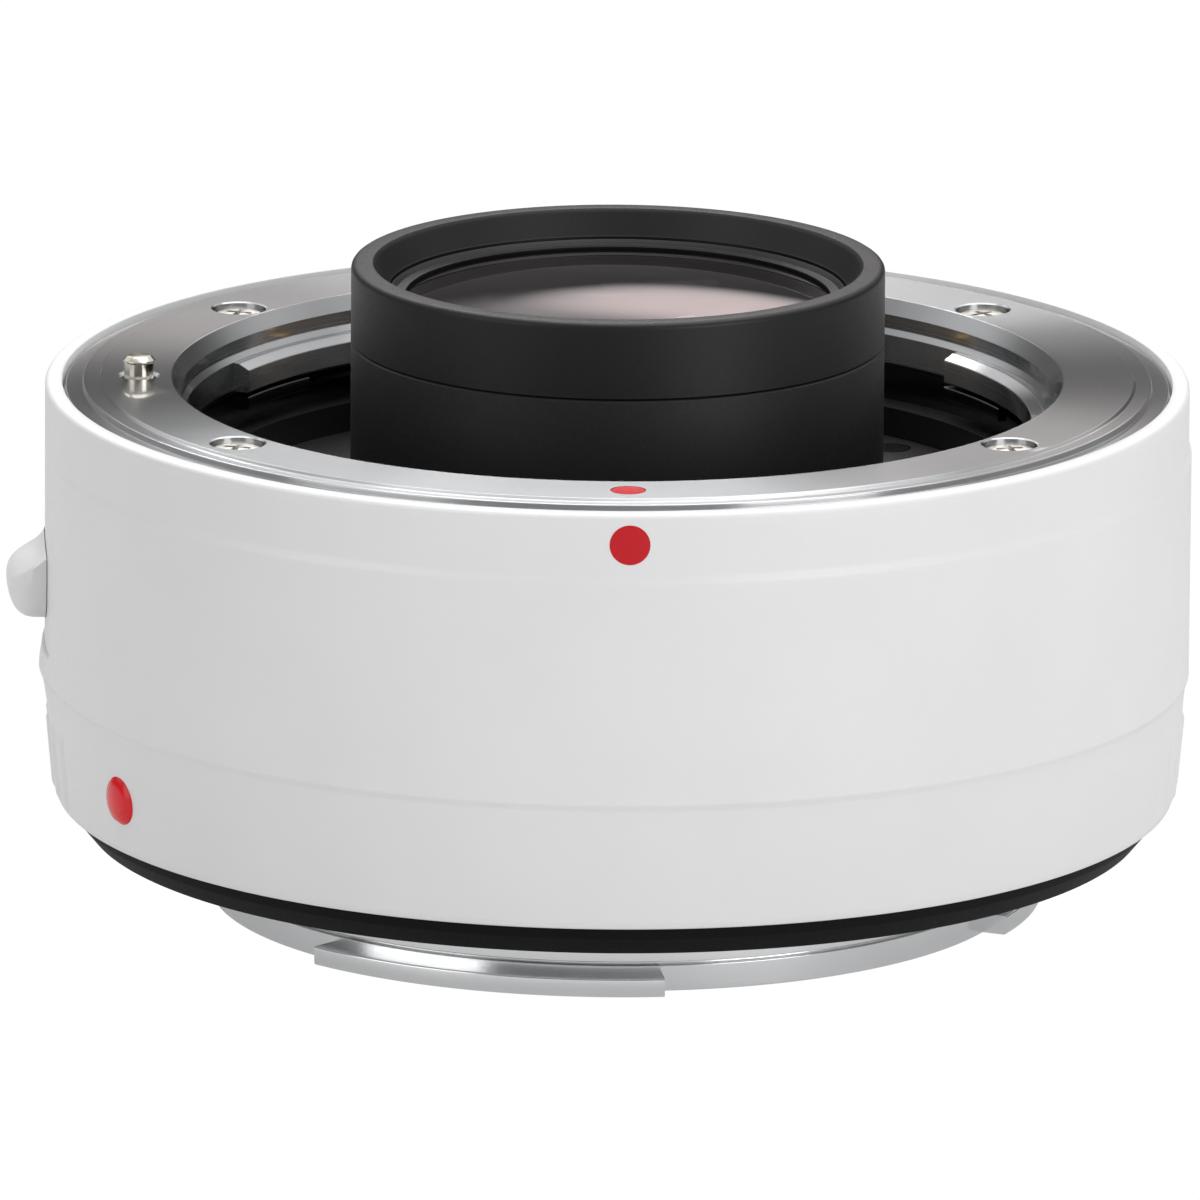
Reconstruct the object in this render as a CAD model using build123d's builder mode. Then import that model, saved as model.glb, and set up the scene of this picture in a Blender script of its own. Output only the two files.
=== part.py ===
from build123d import *
import os
from math import cos, pi, radians, sin

os.makedirs("parts", exist_ok=True)

# A camera teleconverter. The origin is on the optical axis in the plane of the camera's flange.
# +Z runs to the lens, -Y faces the lens index, -X is the side of the release lever.
# Lengths are millimetres and angles are degrees counted from +X towards +Y.

# Driving sizes
flange_distance = 27.2
shell_radius = 36.0
index_azimuth = 270.0
lever_azimuth = 180.0
contact_azimuth = 90.0
fit_gap = 0.1
slide_gap = 0.06
cut_overrun = 1.0

# Outer shell
shell_wall = 2.0
rim_drop = 0.2
rim_seat_depth = 1.3
upper_band_inset = 0.17
upper_band_height = 3.9
upper_step_height = 1.3
rim_round = 0.35
waist_height = 8.0
waist_step_height = 1.7
waist_inset = 0.35
foot_height = 0.3
foot_inset = 0.9
foot_round = 0.55
shell_lip_width = 0.9
recess_depth = 0.18
recess_half_angle = 9.6
recess_bottom_height = 10.2
rest_bulge = 0.18
rest_foot_bulge = 0.08
rest_top_height = 9.95
rest_peak_height = 8.7
rest_half_angle = 10.0
rest_stations = 7
grip_azimuths = (0.0, 180.0)
grip_rib_count = 6
grip_rib_step = 4.9
grip_rib_width = 1.2
grip_rib_height = 0.2
grip_rib_root = 0.5
grip_end_gap = 0.6

# Lens-side bayonet ring
throat_radius = 27.0
claw_inner_radius = 25.9
ring_rim_margin = 1.4
ring_rim_width = 1.15
ring_step_width = 1.15
ring_thickness = 1.5
ring_bevel = 0.15
ring_rim_drop = 0.55
throat_chamfer = 0.6
throat_chamfer_depth = 0.92
throat_step = 0.3
throat_step_depth = 1.8
throat_slope_depth = 2.15
collar_wall = 0.9
claw_top_depth = 2.55
claw_thickness = 1.45
claw_root_width = 0.4
claw_starts = (88.5, 222.0, 337.0)
claw_sweeps = (64.0, 56.0, 58.7)
index_dot_radius = 1.1
index_dot_depth = 0.15
index_dot_place = 30.2

# Camera-side bayonet ring
rear_flange_radius = 32.5
rear_flange_thickness = 1.7
spigot_radius = 25.5
spigot_wall = 1.9
spigot_length = 5.9
spigot_step = 0.25
spigot_step_depth = 4.05
rear_claw_radius = 26.9
rear_claw_thickness = 1.2
rear_claw_starts = (91.5, 225.0, 334.5)
rear_claw_sweeps = (50.5, 50.5, 50.5)
socket_radius = 1.7
shim_thickness = 0.2
shim_inner_radius = 26.5
shim_outer_radius = 32.0

# Rubber seal
seal_wall = 0.5
seal_drop = 1.4
seal_skirt_radius = 34.3
seal_tip_radius = 33.1

# Inner chassis and the base plate that closes it on the camera's side
deck_thickness = 3.7
chassis_wall_radius = 29.8
plate_thickness = 2.0
plate_bore_radius = 17.6
well_radius = 25.5
floor_height = 19.0
web_thickness = 1.6
web_bore_radius = 21.0
cavity_radius = 27.0
rib_width = 1.6
rib_azimuths = (0.0, 62.0, 118.0, 242.0, 298.0)
board_boss_radius = 1.6
board_boss_height = 1.0

# Guide ring and leaf spring under the lens-side claws
guide_wall = 0.6
guide_ring_height = 2.15
guide_block_height = 0.85
guide_block_sweep = 15.0
leaf_thickness = 0.25
leaf_width = 1.0
leaf_sag = 0.55
leaf_stations = 5
leaf_end_gap = 4.0

# Lens barrel and its front cap
barrel_radius = 16.7
cap_height = 4.87
barrel_top_height = 34.45
barrel_bottom_height = 1.0
barrel_flange_thickness = 1.2
neck_radius = 15.6
neck_top_height = 32.2
neck_bore_radius = 14.3
neck_step_height = 31.2
cap_bore_radius = 15.1
cap_ledge_height = 32.85
cap_ledge_thickness = 0.6
cap_edge_round = 0.4
cap_bore_chamfer = 0.25
seam_chamfer = 0.12
retainer_lip = 0.3
retainer_step_height = 0.2
retainer_height = 1.6

# Glass, as heights of each surface at the rim and on the axis
front_glass_radius = 13.6
rear_glass_radius = 12.3
front_rim_height = 31.6
front_bevel_width = 0.3
front_bevel_height = 0.6
front_crown_height = 33.4
front_joint_rim_height = 30.2
front_joint_centre_height = 28.2
front_group_rim_height = 26.2
front_group_centre_height = 27.2
middle_group_rim_height = 18.2
middle_group_centre_height = 17.0
middle_joint_rim_height = 14.2
middle_joint_centre_height = 16.1
middle_joint_low_rim_height = 13.4
middle_joint_low_centre_height = 11.9
middle_group_low_rim_height = 10.6
middle_group_low_centre_height = 11.1
rear_group_rim_height = 5.6
rear_group_centre_height = 6.6
rear_joint_rim_height = 4.6
rear_joint_centre_height = 3.3
rear_group_low_rim_height = 2.0
rear_group_low_centre_height = 2.5
front_spacer_wall = 2.0
rear_spacer_wall = 1.2
seat_lip = 1.1

# Rear light baffle
baffle_rim_height = 2.3
baffle_flare_radius = 16.2
baffle_mouth_thickness = 0.35
baffle_mouth_radius = 12.2
baffle_steps = 3
baffle_notch_half_angle = 31.0

# Contact blocks, pins and pads
contact_count = 11
contact_step = 5.0
contact_inset = 2.6
pin_radius = 0.45
pin_collar_radius = 0.6
pin_collar_height = 0.4
pin_tip_chamfer = 0.15
pin_proud = 1.3
block_edge_gap = 1.2
block_width = 5.1
block_half_angle = 28.0
block_shoulder_half_angle = 36.0
block_shoulder_overhang = 0.5
block_stand = 2.7
block_roof = 0.9
block_screw_angle = 32.0
block_screw_floor = 0.8
window_angle_gap = 0.4
contact_wire = 0.14
contact_coil_radius = 0.4
contact_coil_turns = 3
coil_sides = 6
rear_block_inner_radius = 18.4
rear_block_outer_radius = 23.4
rear_block_half_angle = 30.0
rear_block_drop = 4.6
rear_block_screw_angle = 26.0
rear_block_screw_place = 20.9
rear_block_screw_floor = 1.3
tail_boss_half_width = 3.0
tail_boss_depth = 3.0
pad_count = 8
pad_width = 1.3
pad_length = 2.0
pad_thickness = 0.3
pad_proud = 0.05
pad_step = 5.0

# Circuit board and flexible cable
board_inner_radius = 18.6
board_outer_radius = 26.6
board_thickness = 0.8
board_half_angle = 62.0
board_screw_angle = 50.0
chip_side = 4.0
chip_height = 0.9
chip_angles = (-30.0, 28.0)
board_screw_place = 22.6
flex_thickness = 0.2
flex_half_width = 3.0
flex_run_radius = 26.2
flex_foot_length = 3.0

# Screws
mount_screw_place = 29.9
mount_screw_azimuths = (38.0, 142.0, 217.0, 323.0)
rear_screw_place = 29.1
rear_screw_azimuths = (45.0, 135.0, 225.0, 315.0)
mount_head_radius = 1.6
mount_head_height = 0.6
mount_head_sunk = 0.25
mount_shank_radius = 0.85
mount_shank_length = 2.9
recess_slot_width = 0.45
recess_slot_length = 1.9
recess_slot_depth = 0.35
small_head_radius = 1.1
small_head_height = 0.6
small_shank_radius = 0.7
small_shank_length = 3.2
barrel_screw_place = 23.2
barrel_screw_azimuths = (40.0, 160.0, 280.0)
plate_screw_place = 28.4
plate_screw_azimuths = (20.0, 160.0, 270.0)

# Lock pin, release lever and the springs that lift them
lock_pin_place = 29.95
lock_pin_radius = 1.05
lock_pin_proud = 1.3
lock_pin_chamfer = 0.3
lock_pin_head_height = 0.33
lock_pin_head_chamfer = 0.12
lock_pin_neck_radius = 0.94
lock_hole_chamfer = 0.2
lock_collar_radius = 1.5
lock_collar_height = 0.8
release_travel = 1.7
bracket_height = 12.4
bracket_thickness = 1.4
bracket_inner_radius = 30.1
bracket_outer_radius = 33.2
bracket_half_angle = 17.5
bracket_nose_radius = 1.7
post_place = 31.6
post_angle = 13.5
post_radius = 0.8
post_foot = 1.0
lever_base_inner_radius = 30.1
lever_base_outer_radius = 33.3
lever_base_half_angle = 20.0
lever_base_thickness = 1.5
lever_base_screw_angle = 4.5
coil_wire = 0.4
coil_gap = 0.3
coil_turns = 6
stem_half_width = 2.0
stem_height = 1.2
stem_end_place = 31.3
knob_half_width = 3.5
knob_tip_half_width = 2.2
knob_bottom_height = 12.0
knob_height = 4.65
knob_depth = 2.37
knob_bevel_share = 0.27
knob_flank_shares = ((0.0, 0.0), (0.27, 0.0))
knob_chin_shares = ((0.27, 0.0), (0.76, 0.15), (0.94, 0.34))
knob_nose_shares = ((0.94, 0.34), (1.0, 0.56), (0.77, 0.81))
knob_brow_shares = ((0.77, 0.81), (0.0, 1.0), (0.0, 0.0))
lever_screw_place = 32.3

# Raised camera index bead
bead_azimuth = 208.7
bead_height = 4.2
bead_radius = 1.65
bead_stem_radius = 1.1
bead_stem_length = 1.0
bead_proud = 0.45
bead_seat_depth = 0.25

# Places that follow from the sizes above
rim_height = flange_distance - rim_drop
ring_rim_radius = shell_radius - ring_rim_margin
ring_edge_radius = ring_rim_radius - ring_rim_width
ring_face_radius = ring_edge_radius - ring_step_width
shell_bore_radius = shell_radius - shell_wall
rim_bore_radius = ring_rim_radius + 1.5 * fit_gap
deck_height = flange_distance - ring_thickness
deck_underside = deck_height - deck_thickness
deck_radius = shell_bore_radius - fit_gap
collar_radius = throat_radius + collar_wall
guide_seat_radius = collar_radius + fit_gap
claw_top = flange_distance - claw_top_depth
claw_underside = claw_top - claw_thickness
guide_top = claw_underside - leaf_thickness
ledge_height = guide_top - guide_ring_height
chassis_bottom = rear_flange_thickness + shim_thickness
plate_top = chassis_bottom + plate_thickness
shelf_height = floor_height - barrel_flange_thickness
web_underside = shelf_height - web_thickness
spigot_bore_radius = spigot_radius - spigot_wall
shell_lip_radius = shell_bore_radius - shell_lip_width
board_height = plate_top + board_boss_height
board_top = board_height + board_thickness
glass_gap = 0.5 * fit_gap
lever_base_top = plate_top + lever_base_thickness
stem_bottom_height = bracket_height + bracket_thickness
knob_back = shell_radius - recess_depth + glass_gap
knob_reach = knob_back + knob_depth
block_top_height = floor_height + block_stand
block_outer_radius = well_radius - block_edge_gap
block_inner_radius = block_outer_radius - block_width
contact_place = block_outer_radius - contact_inset
pin_tip_height = block_top_height + pin_proud
barrel_seam_height = barrel_top_height - cap_height
pin_collar_top = block_top_height - block_roof - glass_gap
waist_low_height = waist_height - waist_step_height
cone_slope = (foot_inset - waist_inset) / (waist_low_height - foot_height)
bead_seat_radius = shell_radius - foot_inset + cone_slope * (bead_height - foot_height)


def on_axis_plane(azimuth, height=0.0):
    """A plane that holds the optical axis, with x outwards along the azimuth and y up."""
    a = radians(azimuth)
    return Plane(origin=(0, 0, height), x_dir=(cos(a), sin(a), 0), z_dir=(sin(a), -cos(a), 0))


def radial_plane(azimuth, radius, height):
    """A plane that faces outwards at a radius, with x along the circle and y up."""
    a = radians(azimuth)
    centre = (radius * cos(a), radius * sin(a), height)
    return Plane(origin=centre, x_dir=(-sin(a), cos(a), 0), z_dir=(cos(a), sin(a), 0))


def ring_point(radius, azimuth, height=0.0):
    """The point at a radius and azimuth about the optical axis."""
    return (radius * cos(radians(azimuth)), radius * sin(radians(azimuth)), height)


def ring_sector(inner_radius, outer_radius, start, sweep_angle):
    """A flat piece of a ring between two radii, from a start angle through a sweep."""
    with BuildSketch() as sector:
        with BuildLine():
            outer = CenterArc((0, 0), outer_radius, start, sweep_angle)
            inner = CenterArc((0, 0), inner_radius, start, sweep_angle)
            Line(outer @ 0, inner @ 0)
            Line(outer @ 1, inner @ 1)
        make_face()
    return sector.sketch


def turned(*outline):
    """A solid of revolution about the optical axis from (radius, height) corners."""
    with BuildPart() as solid:
        with BuildSketch(Plane.XZ):
            with BuildLine():
                Polyline(*outline, close=True)
            make_face()
        revolve(axis=Axis.Z)
    return solid.part


def lens_element(radius, top_rim, top_centre, bottom_rim, bottom_centre, bevel=(0.0, 0.0)):
    """A glass element between two spherical surfaces, with its edge ground to the radius."""
    bevel_width, bevel_height = bevel
    top_radius = radius - bevel_width
    top_middle = spherical_height(top_radius, top_rim + bevel_height, top_centre)
    bottom_middle = spherical_height(radius, bottom_rim, bottom_centre)
    with BuildPart() as element:
        with BuildSketch(Plane.XZ):
            with BuildLine():
                Line((0, bottom_centre), (0, top_centre))
                ThreePointArc((0, top_centre), top_middle, (top_radius, top_rim + bevel_height))
                if bevel_width > 0:
                    Line((top_radius, top_rim + bevel_height), (radius, top_rim))
                Line((radius, top_rim), (radius, bottom_rim))
                ThreePointArc((radius, bottom_rim), bottom_middle, (0, bottom_centre))
            make_face()
        revolve(axis=Axis.Z)
    return element.part


def spherical_height(radius, rim, centre):
    """The point half way out on the sphere through the rim and the pole."""
    sag = rim - centre
    sphere = (radius**2 + sag**2) / (2 * abs(sag))
    half = radius / 2
    drop = sphere - (sphere**2 - half**2) ** 0.5
    return (half, centre + (drop if sag > 0 else -drop))


def knob_points(shares):
    """Points of the thumb piece's side outline from shares of its depth and height."""
    return [(knob_back + knob_depth * out, knob_bottom_height + knob_height * up) for out, up in shares]


def mount_screw():
    """A cross-recess screw that stands head up with the underside of its head at zero."""
    with BuildPart() as screw:
        with BuildSketch():
            Circle(mount_head_radius)
        extrude(amount=mount_head_height)
        with BuildSketch():
            Circle(mount_shank_radius)
        extrude(amount=-mount_shank_length)
        with BuildSketch(Plane.XY.offset(mount_head_height)):
            Rectangle(recess_slot_length, recess_slot_width)
            Rectangle(recess_slot_width, recess_slot_length)
        extrude(amount=-recess_slot_depth, mode=Mode.SUBTRACT)
    return screw.part


def small_screw():
    """A small cheese-head screw that stands head up with the underside of its head at zero."""
    with BuildPart() as screw:
        with BuildSketch():
            Circle(small_head_radius)
        extrude(amount=small_head_height)
        with BuildSketch():
            Circle(small_shank_radius)
        extrude(amount=-small_shank_length)
    return screw.part


def coil_spring(coil_radius, wire, height, turns, sides):
    """A compression spring of square wire, a ruled loft through flat sections, ground flat at its ends."""
    rise = height - wire
    steps = turns * sides
    sections = []
    for step in range(steps + 1):
        angle = 2 * pi * step / sides
        centre = (coil_radius * cos(angle), coil_radius * sin(angle), wire / 2 + rise * step / steps)
        section_plane = Plane(
            origin=centre, x_dir=(cos(angle), sin(angle), 0), z_dir=(-sin(angle), cos(angle), 0)
        )
        with BuildSketch(section_plane) as section:
            Rectangle(wire, wire)
        sections.append(section.sketch.face())
    with BuildPart() as coil:
        loft(sections=sections, ruled=True)
    return coil.part


# Outer shell: one painted casting with a stepped waist, a lever recess and a thumb rest
slot_bottom = stem_bottom_height - release_travel - fit_gap
slot_top = stem_bottom_height + stem_height + fit_gap
slot_middle = (slot_bottom + slot_top) / 2
with BuildPart() as outer_shell:
    with BuildSketch(Plane.XZ):
        with BuildLine():
            Polyline(
                (shell_lip_radius, foot_height),
                (shell_radius - foot_inset, foot_height),
                (shell_radius - waist_inset, waist_height - waist_step_height),
                (shell_radius, waist_height),
                (shell_radius, rim_height - upper_band_height - upper_step_height),
                (shell_radius - upper_band_inset, rim_height - upper_band_height),
                (shell_radius - upper_band_inset, rim_height),
                (rim_bore_radius, rim_height),
                (rim_bore_radius, rim_height - rim_seat_depth),
                (shell_bore_radius, rim_height - rim_seat_depth),
                (shell_bore_radius, chassis_bottom),
                (shell_lip_radius, chassis_bottom),
                close=True,
            )
        make_face()
    revolve(axis=Axis.Z)
    foot_edges = outer_shell.edges().filter_by(GeomType.CIRCLE).group_by(Axis.Z)[0]
    fillet(foot_edges.sort_by(SortBy.RADIUS)[-1], foot_round)
    rim_edges = outer_shell.edges().filter_by(GeomType.CIRCLE).group_by(Axis.Z)[-1]
    fillet(rim_edges.sort_by(SortBy.RADIUS)[-1], rim_round)
    # Thumb rest under the lever, a low swelling that runs out into the wall
    rest_root = shell_radius - shell_wall / 2
    rest_foot_radius = shell_radius - waist_inset - glass_gap
    rest_sections = []
    for station in range(rest_stations):
        share = station / (rest_stations - 1)
        swell = sin(pi * share)
        rest_top = (shell_radius - glass_gap, rest_top_height)
        rest_peak = (shell_radius - glass_gap + (rest_bulge + glass_gap) * swell, rest_peak_height)
        rest_foot = (rest_foot_radius + (rest_foot_bulge + glass_gap) * swell, waist_low_height)
        azimuth = lever_azimuth + rest_half_angle * (2 * share - 1)
        with BuildSketch(on_axis_plane(azimuth), mode=Mode.PRIVATE) as rest_section:
            with BuildLine():
                ThreePointArc(rest_top, rest_peak, rest_foot)
                Polyline(rest_foot, (rest_root, waist_low_height), (rest_root, rest_top_height), rest_top)
            make_face()
        rest_sections.append(rest_section.sketch.face())
    loft(sections=rest_sections, ruled=True)
    # Recess behind the lever, and the slot that its stem passes through
    recess_top_height = rim_height - upper_band_height
    with BuildSketch(Plane.XY.offset(recess_bottom_height)):
        add(
            ring_sector(
                shell_radius - recess_depth,
                shell_radius + cut_overrun,
                lever_azimuth - recess_half_angle,
                2 * recess_half_angle,
            )
        )
    extrude(amount=recess_top_height - recess_bottom_height, mode=Mode.SUBTRACT)
    with BuildSketch(radial_plane(lever_azimuth, shell_bore_radius - cut_overrun, slot_middle)):
        Rectangle(2 * (stem_half_width + fit_gap), slot_top - slot_bottom)
    extrude(amount=shell_wall + cut_overrun, mode=Mode.SUBTRACT)
    # Round seat and blind hole for the camera index bead
    with BuildSketch(radial_plane(bead_azimuth, bead_seat_radius - bead_seat_depth, bead_height)):
        Circle(bead_radius + glass_gap)
    extrude(amount=shell_wall, mode=Mode.SUBTRACT)
    bead_stem_end = bead_seat_radius - bead_seat_depth - bead_stem_length
    with BuildSketch(radial_plane(bead_azimuth, bead_stem_end, bead_height)):
        Circle(bead_stem_radius + glass_gap)
    extrude(amount=shell_wall, mode=Mode.SUBTRACT)
    # Grip ribs down the lower cone, a group on each side
    grip_low = foot_height + foot_round + grip_end_gap
    grip_low_radius = shell_radius - foot_inset + cone_slope * (grip_low - foot_height)
    for grip_azimuth in grip_azimuths:
        for number in range(grip_rib_count):
            azimuth = grip_azimuth + grip_rib_step * (number - (grip_rib_count - 1) / 2)
            a = radians(azimuth)
            rib_plane = Plane(
                origin=ring_point(grip_low_radius, azimuth, grip_low),
                x_dir=(-sin(a), cos(a), 0),
                z_dir=(cone_slope * cos(a), cone_slope * sin(a), 1),
            )
            with BuildSketch(rib_plane):
                with BuildLine():
                    Polyline(
                        (-grip_rib_width / 2, 0),
                        (-grip_rib_width / 2, grip_rib_root),
                        (grip_rib_width / 2, grip_rib_root),
                        (grip_rib_width / 2, 0),
                    )
                    ThreePointArc((grip_rib_width / 2, 0), (0, -grip_rib_height), (-grip_rib_width / 2, 0))
                make_face()
            extrude(amount=waist_low_height - grip_low)
outer_shell.part.label = "outer_shell"
export_step(outer_shell.part, "parts/outer_shell.step")

# Lens-side bayonet ring: stainless flange, throat and three inward claws
with BuildPart() as front_mount_ring:
    add(
        turned(
            (throat_radius + throat_step + throat_chamfer, flange_distance),
            (ring_face_radius, flange_distance),
            (ring_face_radius + ring_bevel, flange_distance - ring_bevel),
            (ring_edge_radius, flange_distance - ring_bevel),
            (ring_edge_radius, flange_distance - ring_rim_drop),
            (ring_rim_radius, flange_distance - ring_rim_drop),
            (ring_rim_radius, deck_height),
            (collar_radius, deck_height),
            (collar_radius, claw_underside),
            (throat_radius, claw_underside),
            (throat_radius, flange_distance - throat_slope_depth),
            (throat_radius + throat_step, flange_distance - throat_step_depth),
            (throat_radius + throat_step, flange_distance - throat_chamfer_depth),
        )
    )
    claw_root_top = flange_distance - throat_slope_depth
    for start, sweep_angle in zip(claw_starts, claw_sweeps):
        with BuildSketch(on_axis_plane(start)):
            with BuildLine():
                Polyline(
                    (claw_inner_radius, claw_underside),
                    (throat_radius + collar_wall / 2, claw_underside),
                    (throat_radius + collar_wall / 2, claw_root_top),
                    (throat_radius - claw_root_width, claw_root_top),
                    (claw_inner_radius, claw_top),
                    close=True,
                )
            make_face()
        revolve(axis=Axis.Z, revolution_arc=sweep_angle)
    for azimuth in mount_screw_azimuths:
        with Locations(ring_point(mount_screw_place, azimuth, flange_distance)):
            CounterBoreHole(
                mount_shank_radius + fit_gap, mount_head_radius + fit_gap, mount_head_height + mount_head_sunk
            )
    lock_hole_radius = lock_pin_radius + fit_gap
    with Locations(ring_point(lock_pin_place, lever_azimuth, flange_distance)):
        CounterSinkHole(lock_hole_radius, lock_hole_radius + lock_hole_chamfer)
    with BuildSketch(Plane.XY.offset(flange_distance)):
        with Locations(ring_point(index_dot_place, index_azimuth)):
            Circle(index_dot_radius)
    extrude(amount=-index_dot_depth, mode=Mode.SUBTRACT)
front_mount_ring.part.label = "front_mount_ring"
export_step(front_mount_ring.part, "parts/front_mount_ring.step")

# Mount screws: four in each bayonet ring, heads sunk under the flange faces
with BuildPart() as mount_screws:
    for azimuth in mount_screw_azimuths:
        head_seat = flange_distance - mount_head_sunk - mount_head_height
        with Locations(Location(ring_point(mount_screw_place, azimuth, head_seat), (0, 0, azimuth))):
            add(mount_screw())
    for azimuth in rear_screw_azimuths:
        head_seat = mount_head_sunk + mount_head_height
        with Locations(Location(ring_point(rear_screw_place, azimuth, head_seat), (180, 0, azimuth))):
            add(mount_screw())
mount_screws.part.label = "mount_screws"
export_step(mount_screws.part, "parts/mount_screws.step")

# Leaf spring: a flat ring under the collar with three bowed leaves that press on a lens's claws
leaf_outer_radius = throat_radius + fit_gap
leaf_inner_radius = leaf_outer_radius - leaf_width
with BuildPart() as mount_leaf_spring:
    with BuildSketch(Plane.XY.offset(claw_underside)):
        Circle(collar_radius)
        Circle(leaf_outer_radius, mode=Mode.SUBTRACT)
    extrude(amount=-leaf_thickness)
    for claw_start, claw_sweep in zip(claw_starts, claw_sweeps):
        leaf_start = claw_start + leaf_end_gap
        leaf_sweep = claw_sweep - guide_block_sweep - 2 * leaf_end_gap
        with BuildSketch(Plane.XY.offset(claw_underside)):
            add(ring_sector(leaf_inner_radius, leaf_outer_radius + fit_gap, leaf_start, leaf_end_gap))
        extrude(amount=-leaf_thickness)
        leaf_sections = []
        for station in range(leaf_stations):
            share = station / (leaf_stations - 1)
            azimuth = leaf_start + leaf_end_gap / 2 + leaf_sweep * share
            middle = claw_underside - leaf_thickness / 2 - leaf_sag * sin(pi * share / 2)
            with BuildSketch(on_axis_plane(azimuth, middle), mode=Mode.PRIVATE) as leaf_section:
                with Locations(((leaf_inner_radius + leaf_outer_radius) / 2, 0)):
                    Rectangle(leaf_width, leaf_thickness)
            leaf_sections.append(leaf_section.sketch.face())
        loft(sections=leaf_sections, ruled=True)
mount_leaf_spring.part.label = "mount_leaf_spring"
export_step(mount_leaf_spring.part, "parts/mount_leaf_spring.step")

# Guide ring: black plastic liner of the well, with three blocks that stop the leaves
with BuildPart() as front_guide_ring:
    with BuildSketch(Plane.XY.offset(ledge_height)):
        Circle(collar_radius)
        Circle(collar_radius - guide_wall, mode=Mode.SUBTRACT)
    extrude(amount=guide_top - ledge_height)
    for claw_start, claw_sweep in zip(claw_starts, claw_sweeps):
        block_start = claw_start + claw_sweep - guide_block_sweep
        with BuildSketch(Plane.XY.offset(guide_top - guide_block_height)):
            block_root_radius = collar_radius - guide_wall / 2
            add(ring_sector(claw_inner_radius, block_root_radius, block_start, guide_block_sweep))
        extrude(amount=guide_block_height)
front_guide_ring.part.label = "front_guide_ring"
export_step(front_guide_ring.part, "parts/front_guide_ring.step")

# Inner chassis: a die-cast frame that carries the lens-side ring, the optics and the release
with BuildPart() as inner_chassis:
    add(
        turned(
            (guide_seat_radius, deck_height),
            (deck_radius, deck_height),
            (deck_radius, deck_underside),
            (chassis_wall_radius, deck_underside),
            (chassis_wall_radius, plate_top),
            (cavity_radius, plate_top),
            (cavity_radius, web_underside),
            (web_bore_radius, web_underside),
            (web_bore_radius, shelf_height),
            (well_radius, shelf_height),
            (well_radius, ledge_height),
            (guide_seat_radius, ledge_height),
        )
    )
    for azimuth in rib_azimuths:
        with BuildSketch(Plane.XY.offset(plate_top)):
            rib_middle = (chassis_wall_radius - rib_width + deck_radius) / 2
            with Locations(Location(ring_point(rib_middle, azimuth), azimuth)):
                Rectangle(deck_radius - chassis_wall_radius + rib_width, rib_width)
        extrude(amount=deck_underside - plate_top)
    # Window for the lens-side contact block
    with BuildSketch(Plane.XY.offset(web_underside)):
        window_half_angle = block_half_angle + window_angle_gap
        add(
            ring_sector(
                block_inner_radius - fit_gap,
                block_outer_radius + fit_gap,
                contact_azimuth - window_half_angle,
                2 * window_half_angle,
            )
        )
    extrude(amount=floor_height - web_underside, mode=Mode.SUBTRACT)
    # Bore for the lock pin and its collar, and holes for the two guide posts
    with BuildSketch(Plane.XY.offset(deck_height)):
        with Locations(ring_point(lock_pin_place, lever_azimuth)):
            Circle(lock_pin_radius + slide_gap)
    extrude(amount=-deck_thickness - cut_overrun, mode=Mode.SUBTRACT)
    with BuildSketch(Plane.XY.offset(bracket_height - release_travel - fit_gap)):
        with Locations(ring_point(lock_pin_place, lever_azimuth)):
            Circle(bracket_nose_radius + slide_gap)
    extrude(amount=deck_underside - bracket_height + release_travel + fit_gap, mode=Mode.SUBTRACT)
    with BuildSketch(Plane.XY.offset(deck_underside)):
        for angle in (-post_angle, post_angle):
            with Locations(ring_point(post_place, lever_azimuth + angle)):
                Circle(post_radius + glass_gap)
    extrude(amount=post_foot + fit_gap, mode=Mode.SUBTRACT)
    # Threaded holes for the screws
    with BuildSketch(Plane.XY.offset(deck_height)):
        for azimuth in mount_screw_azimuths:
            with Locations(ring_point(mount_screw_place, azimuth)):
                Circle(mount_shank_radius + glass_gap)
    extrude(amount=-mount_shank_length, mode=Mode.SUBTRACT)
    with BuildSketch(Plane.XY.offset(plate_top)):
        for azimuth in plate_screw_azimuths:
            with Locations(ring_point(plate_screw_place, azimuth)):
                Circle(small_shank_radius + glass_gap)
    extrude(amount=small_shank_length, mode=Mode.SUBTRACT)
    with BuildSketch(Plane.XY.offset(web_underside)):
        for azimuth in barrel_screw_azimuths:
            with Locations(ring_point(barrel_screw_place, azimuth)):
                Circle(small_shank_radius + glass_gap)
        for angle in (-block_screw_angle, block_screw_angle):
            with Locations(ring_point(contact_place, contact_azimuth + angle)):
                Circle(small_shank_radius + glass_gap)
    extrude(amount=web_thickness, mode=Mode.SUBTRACT)
inner_chassis.part.label = "inner_chassis"
export_step(inner_chassis.part, "parts/inner_chassis.step")

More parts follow.
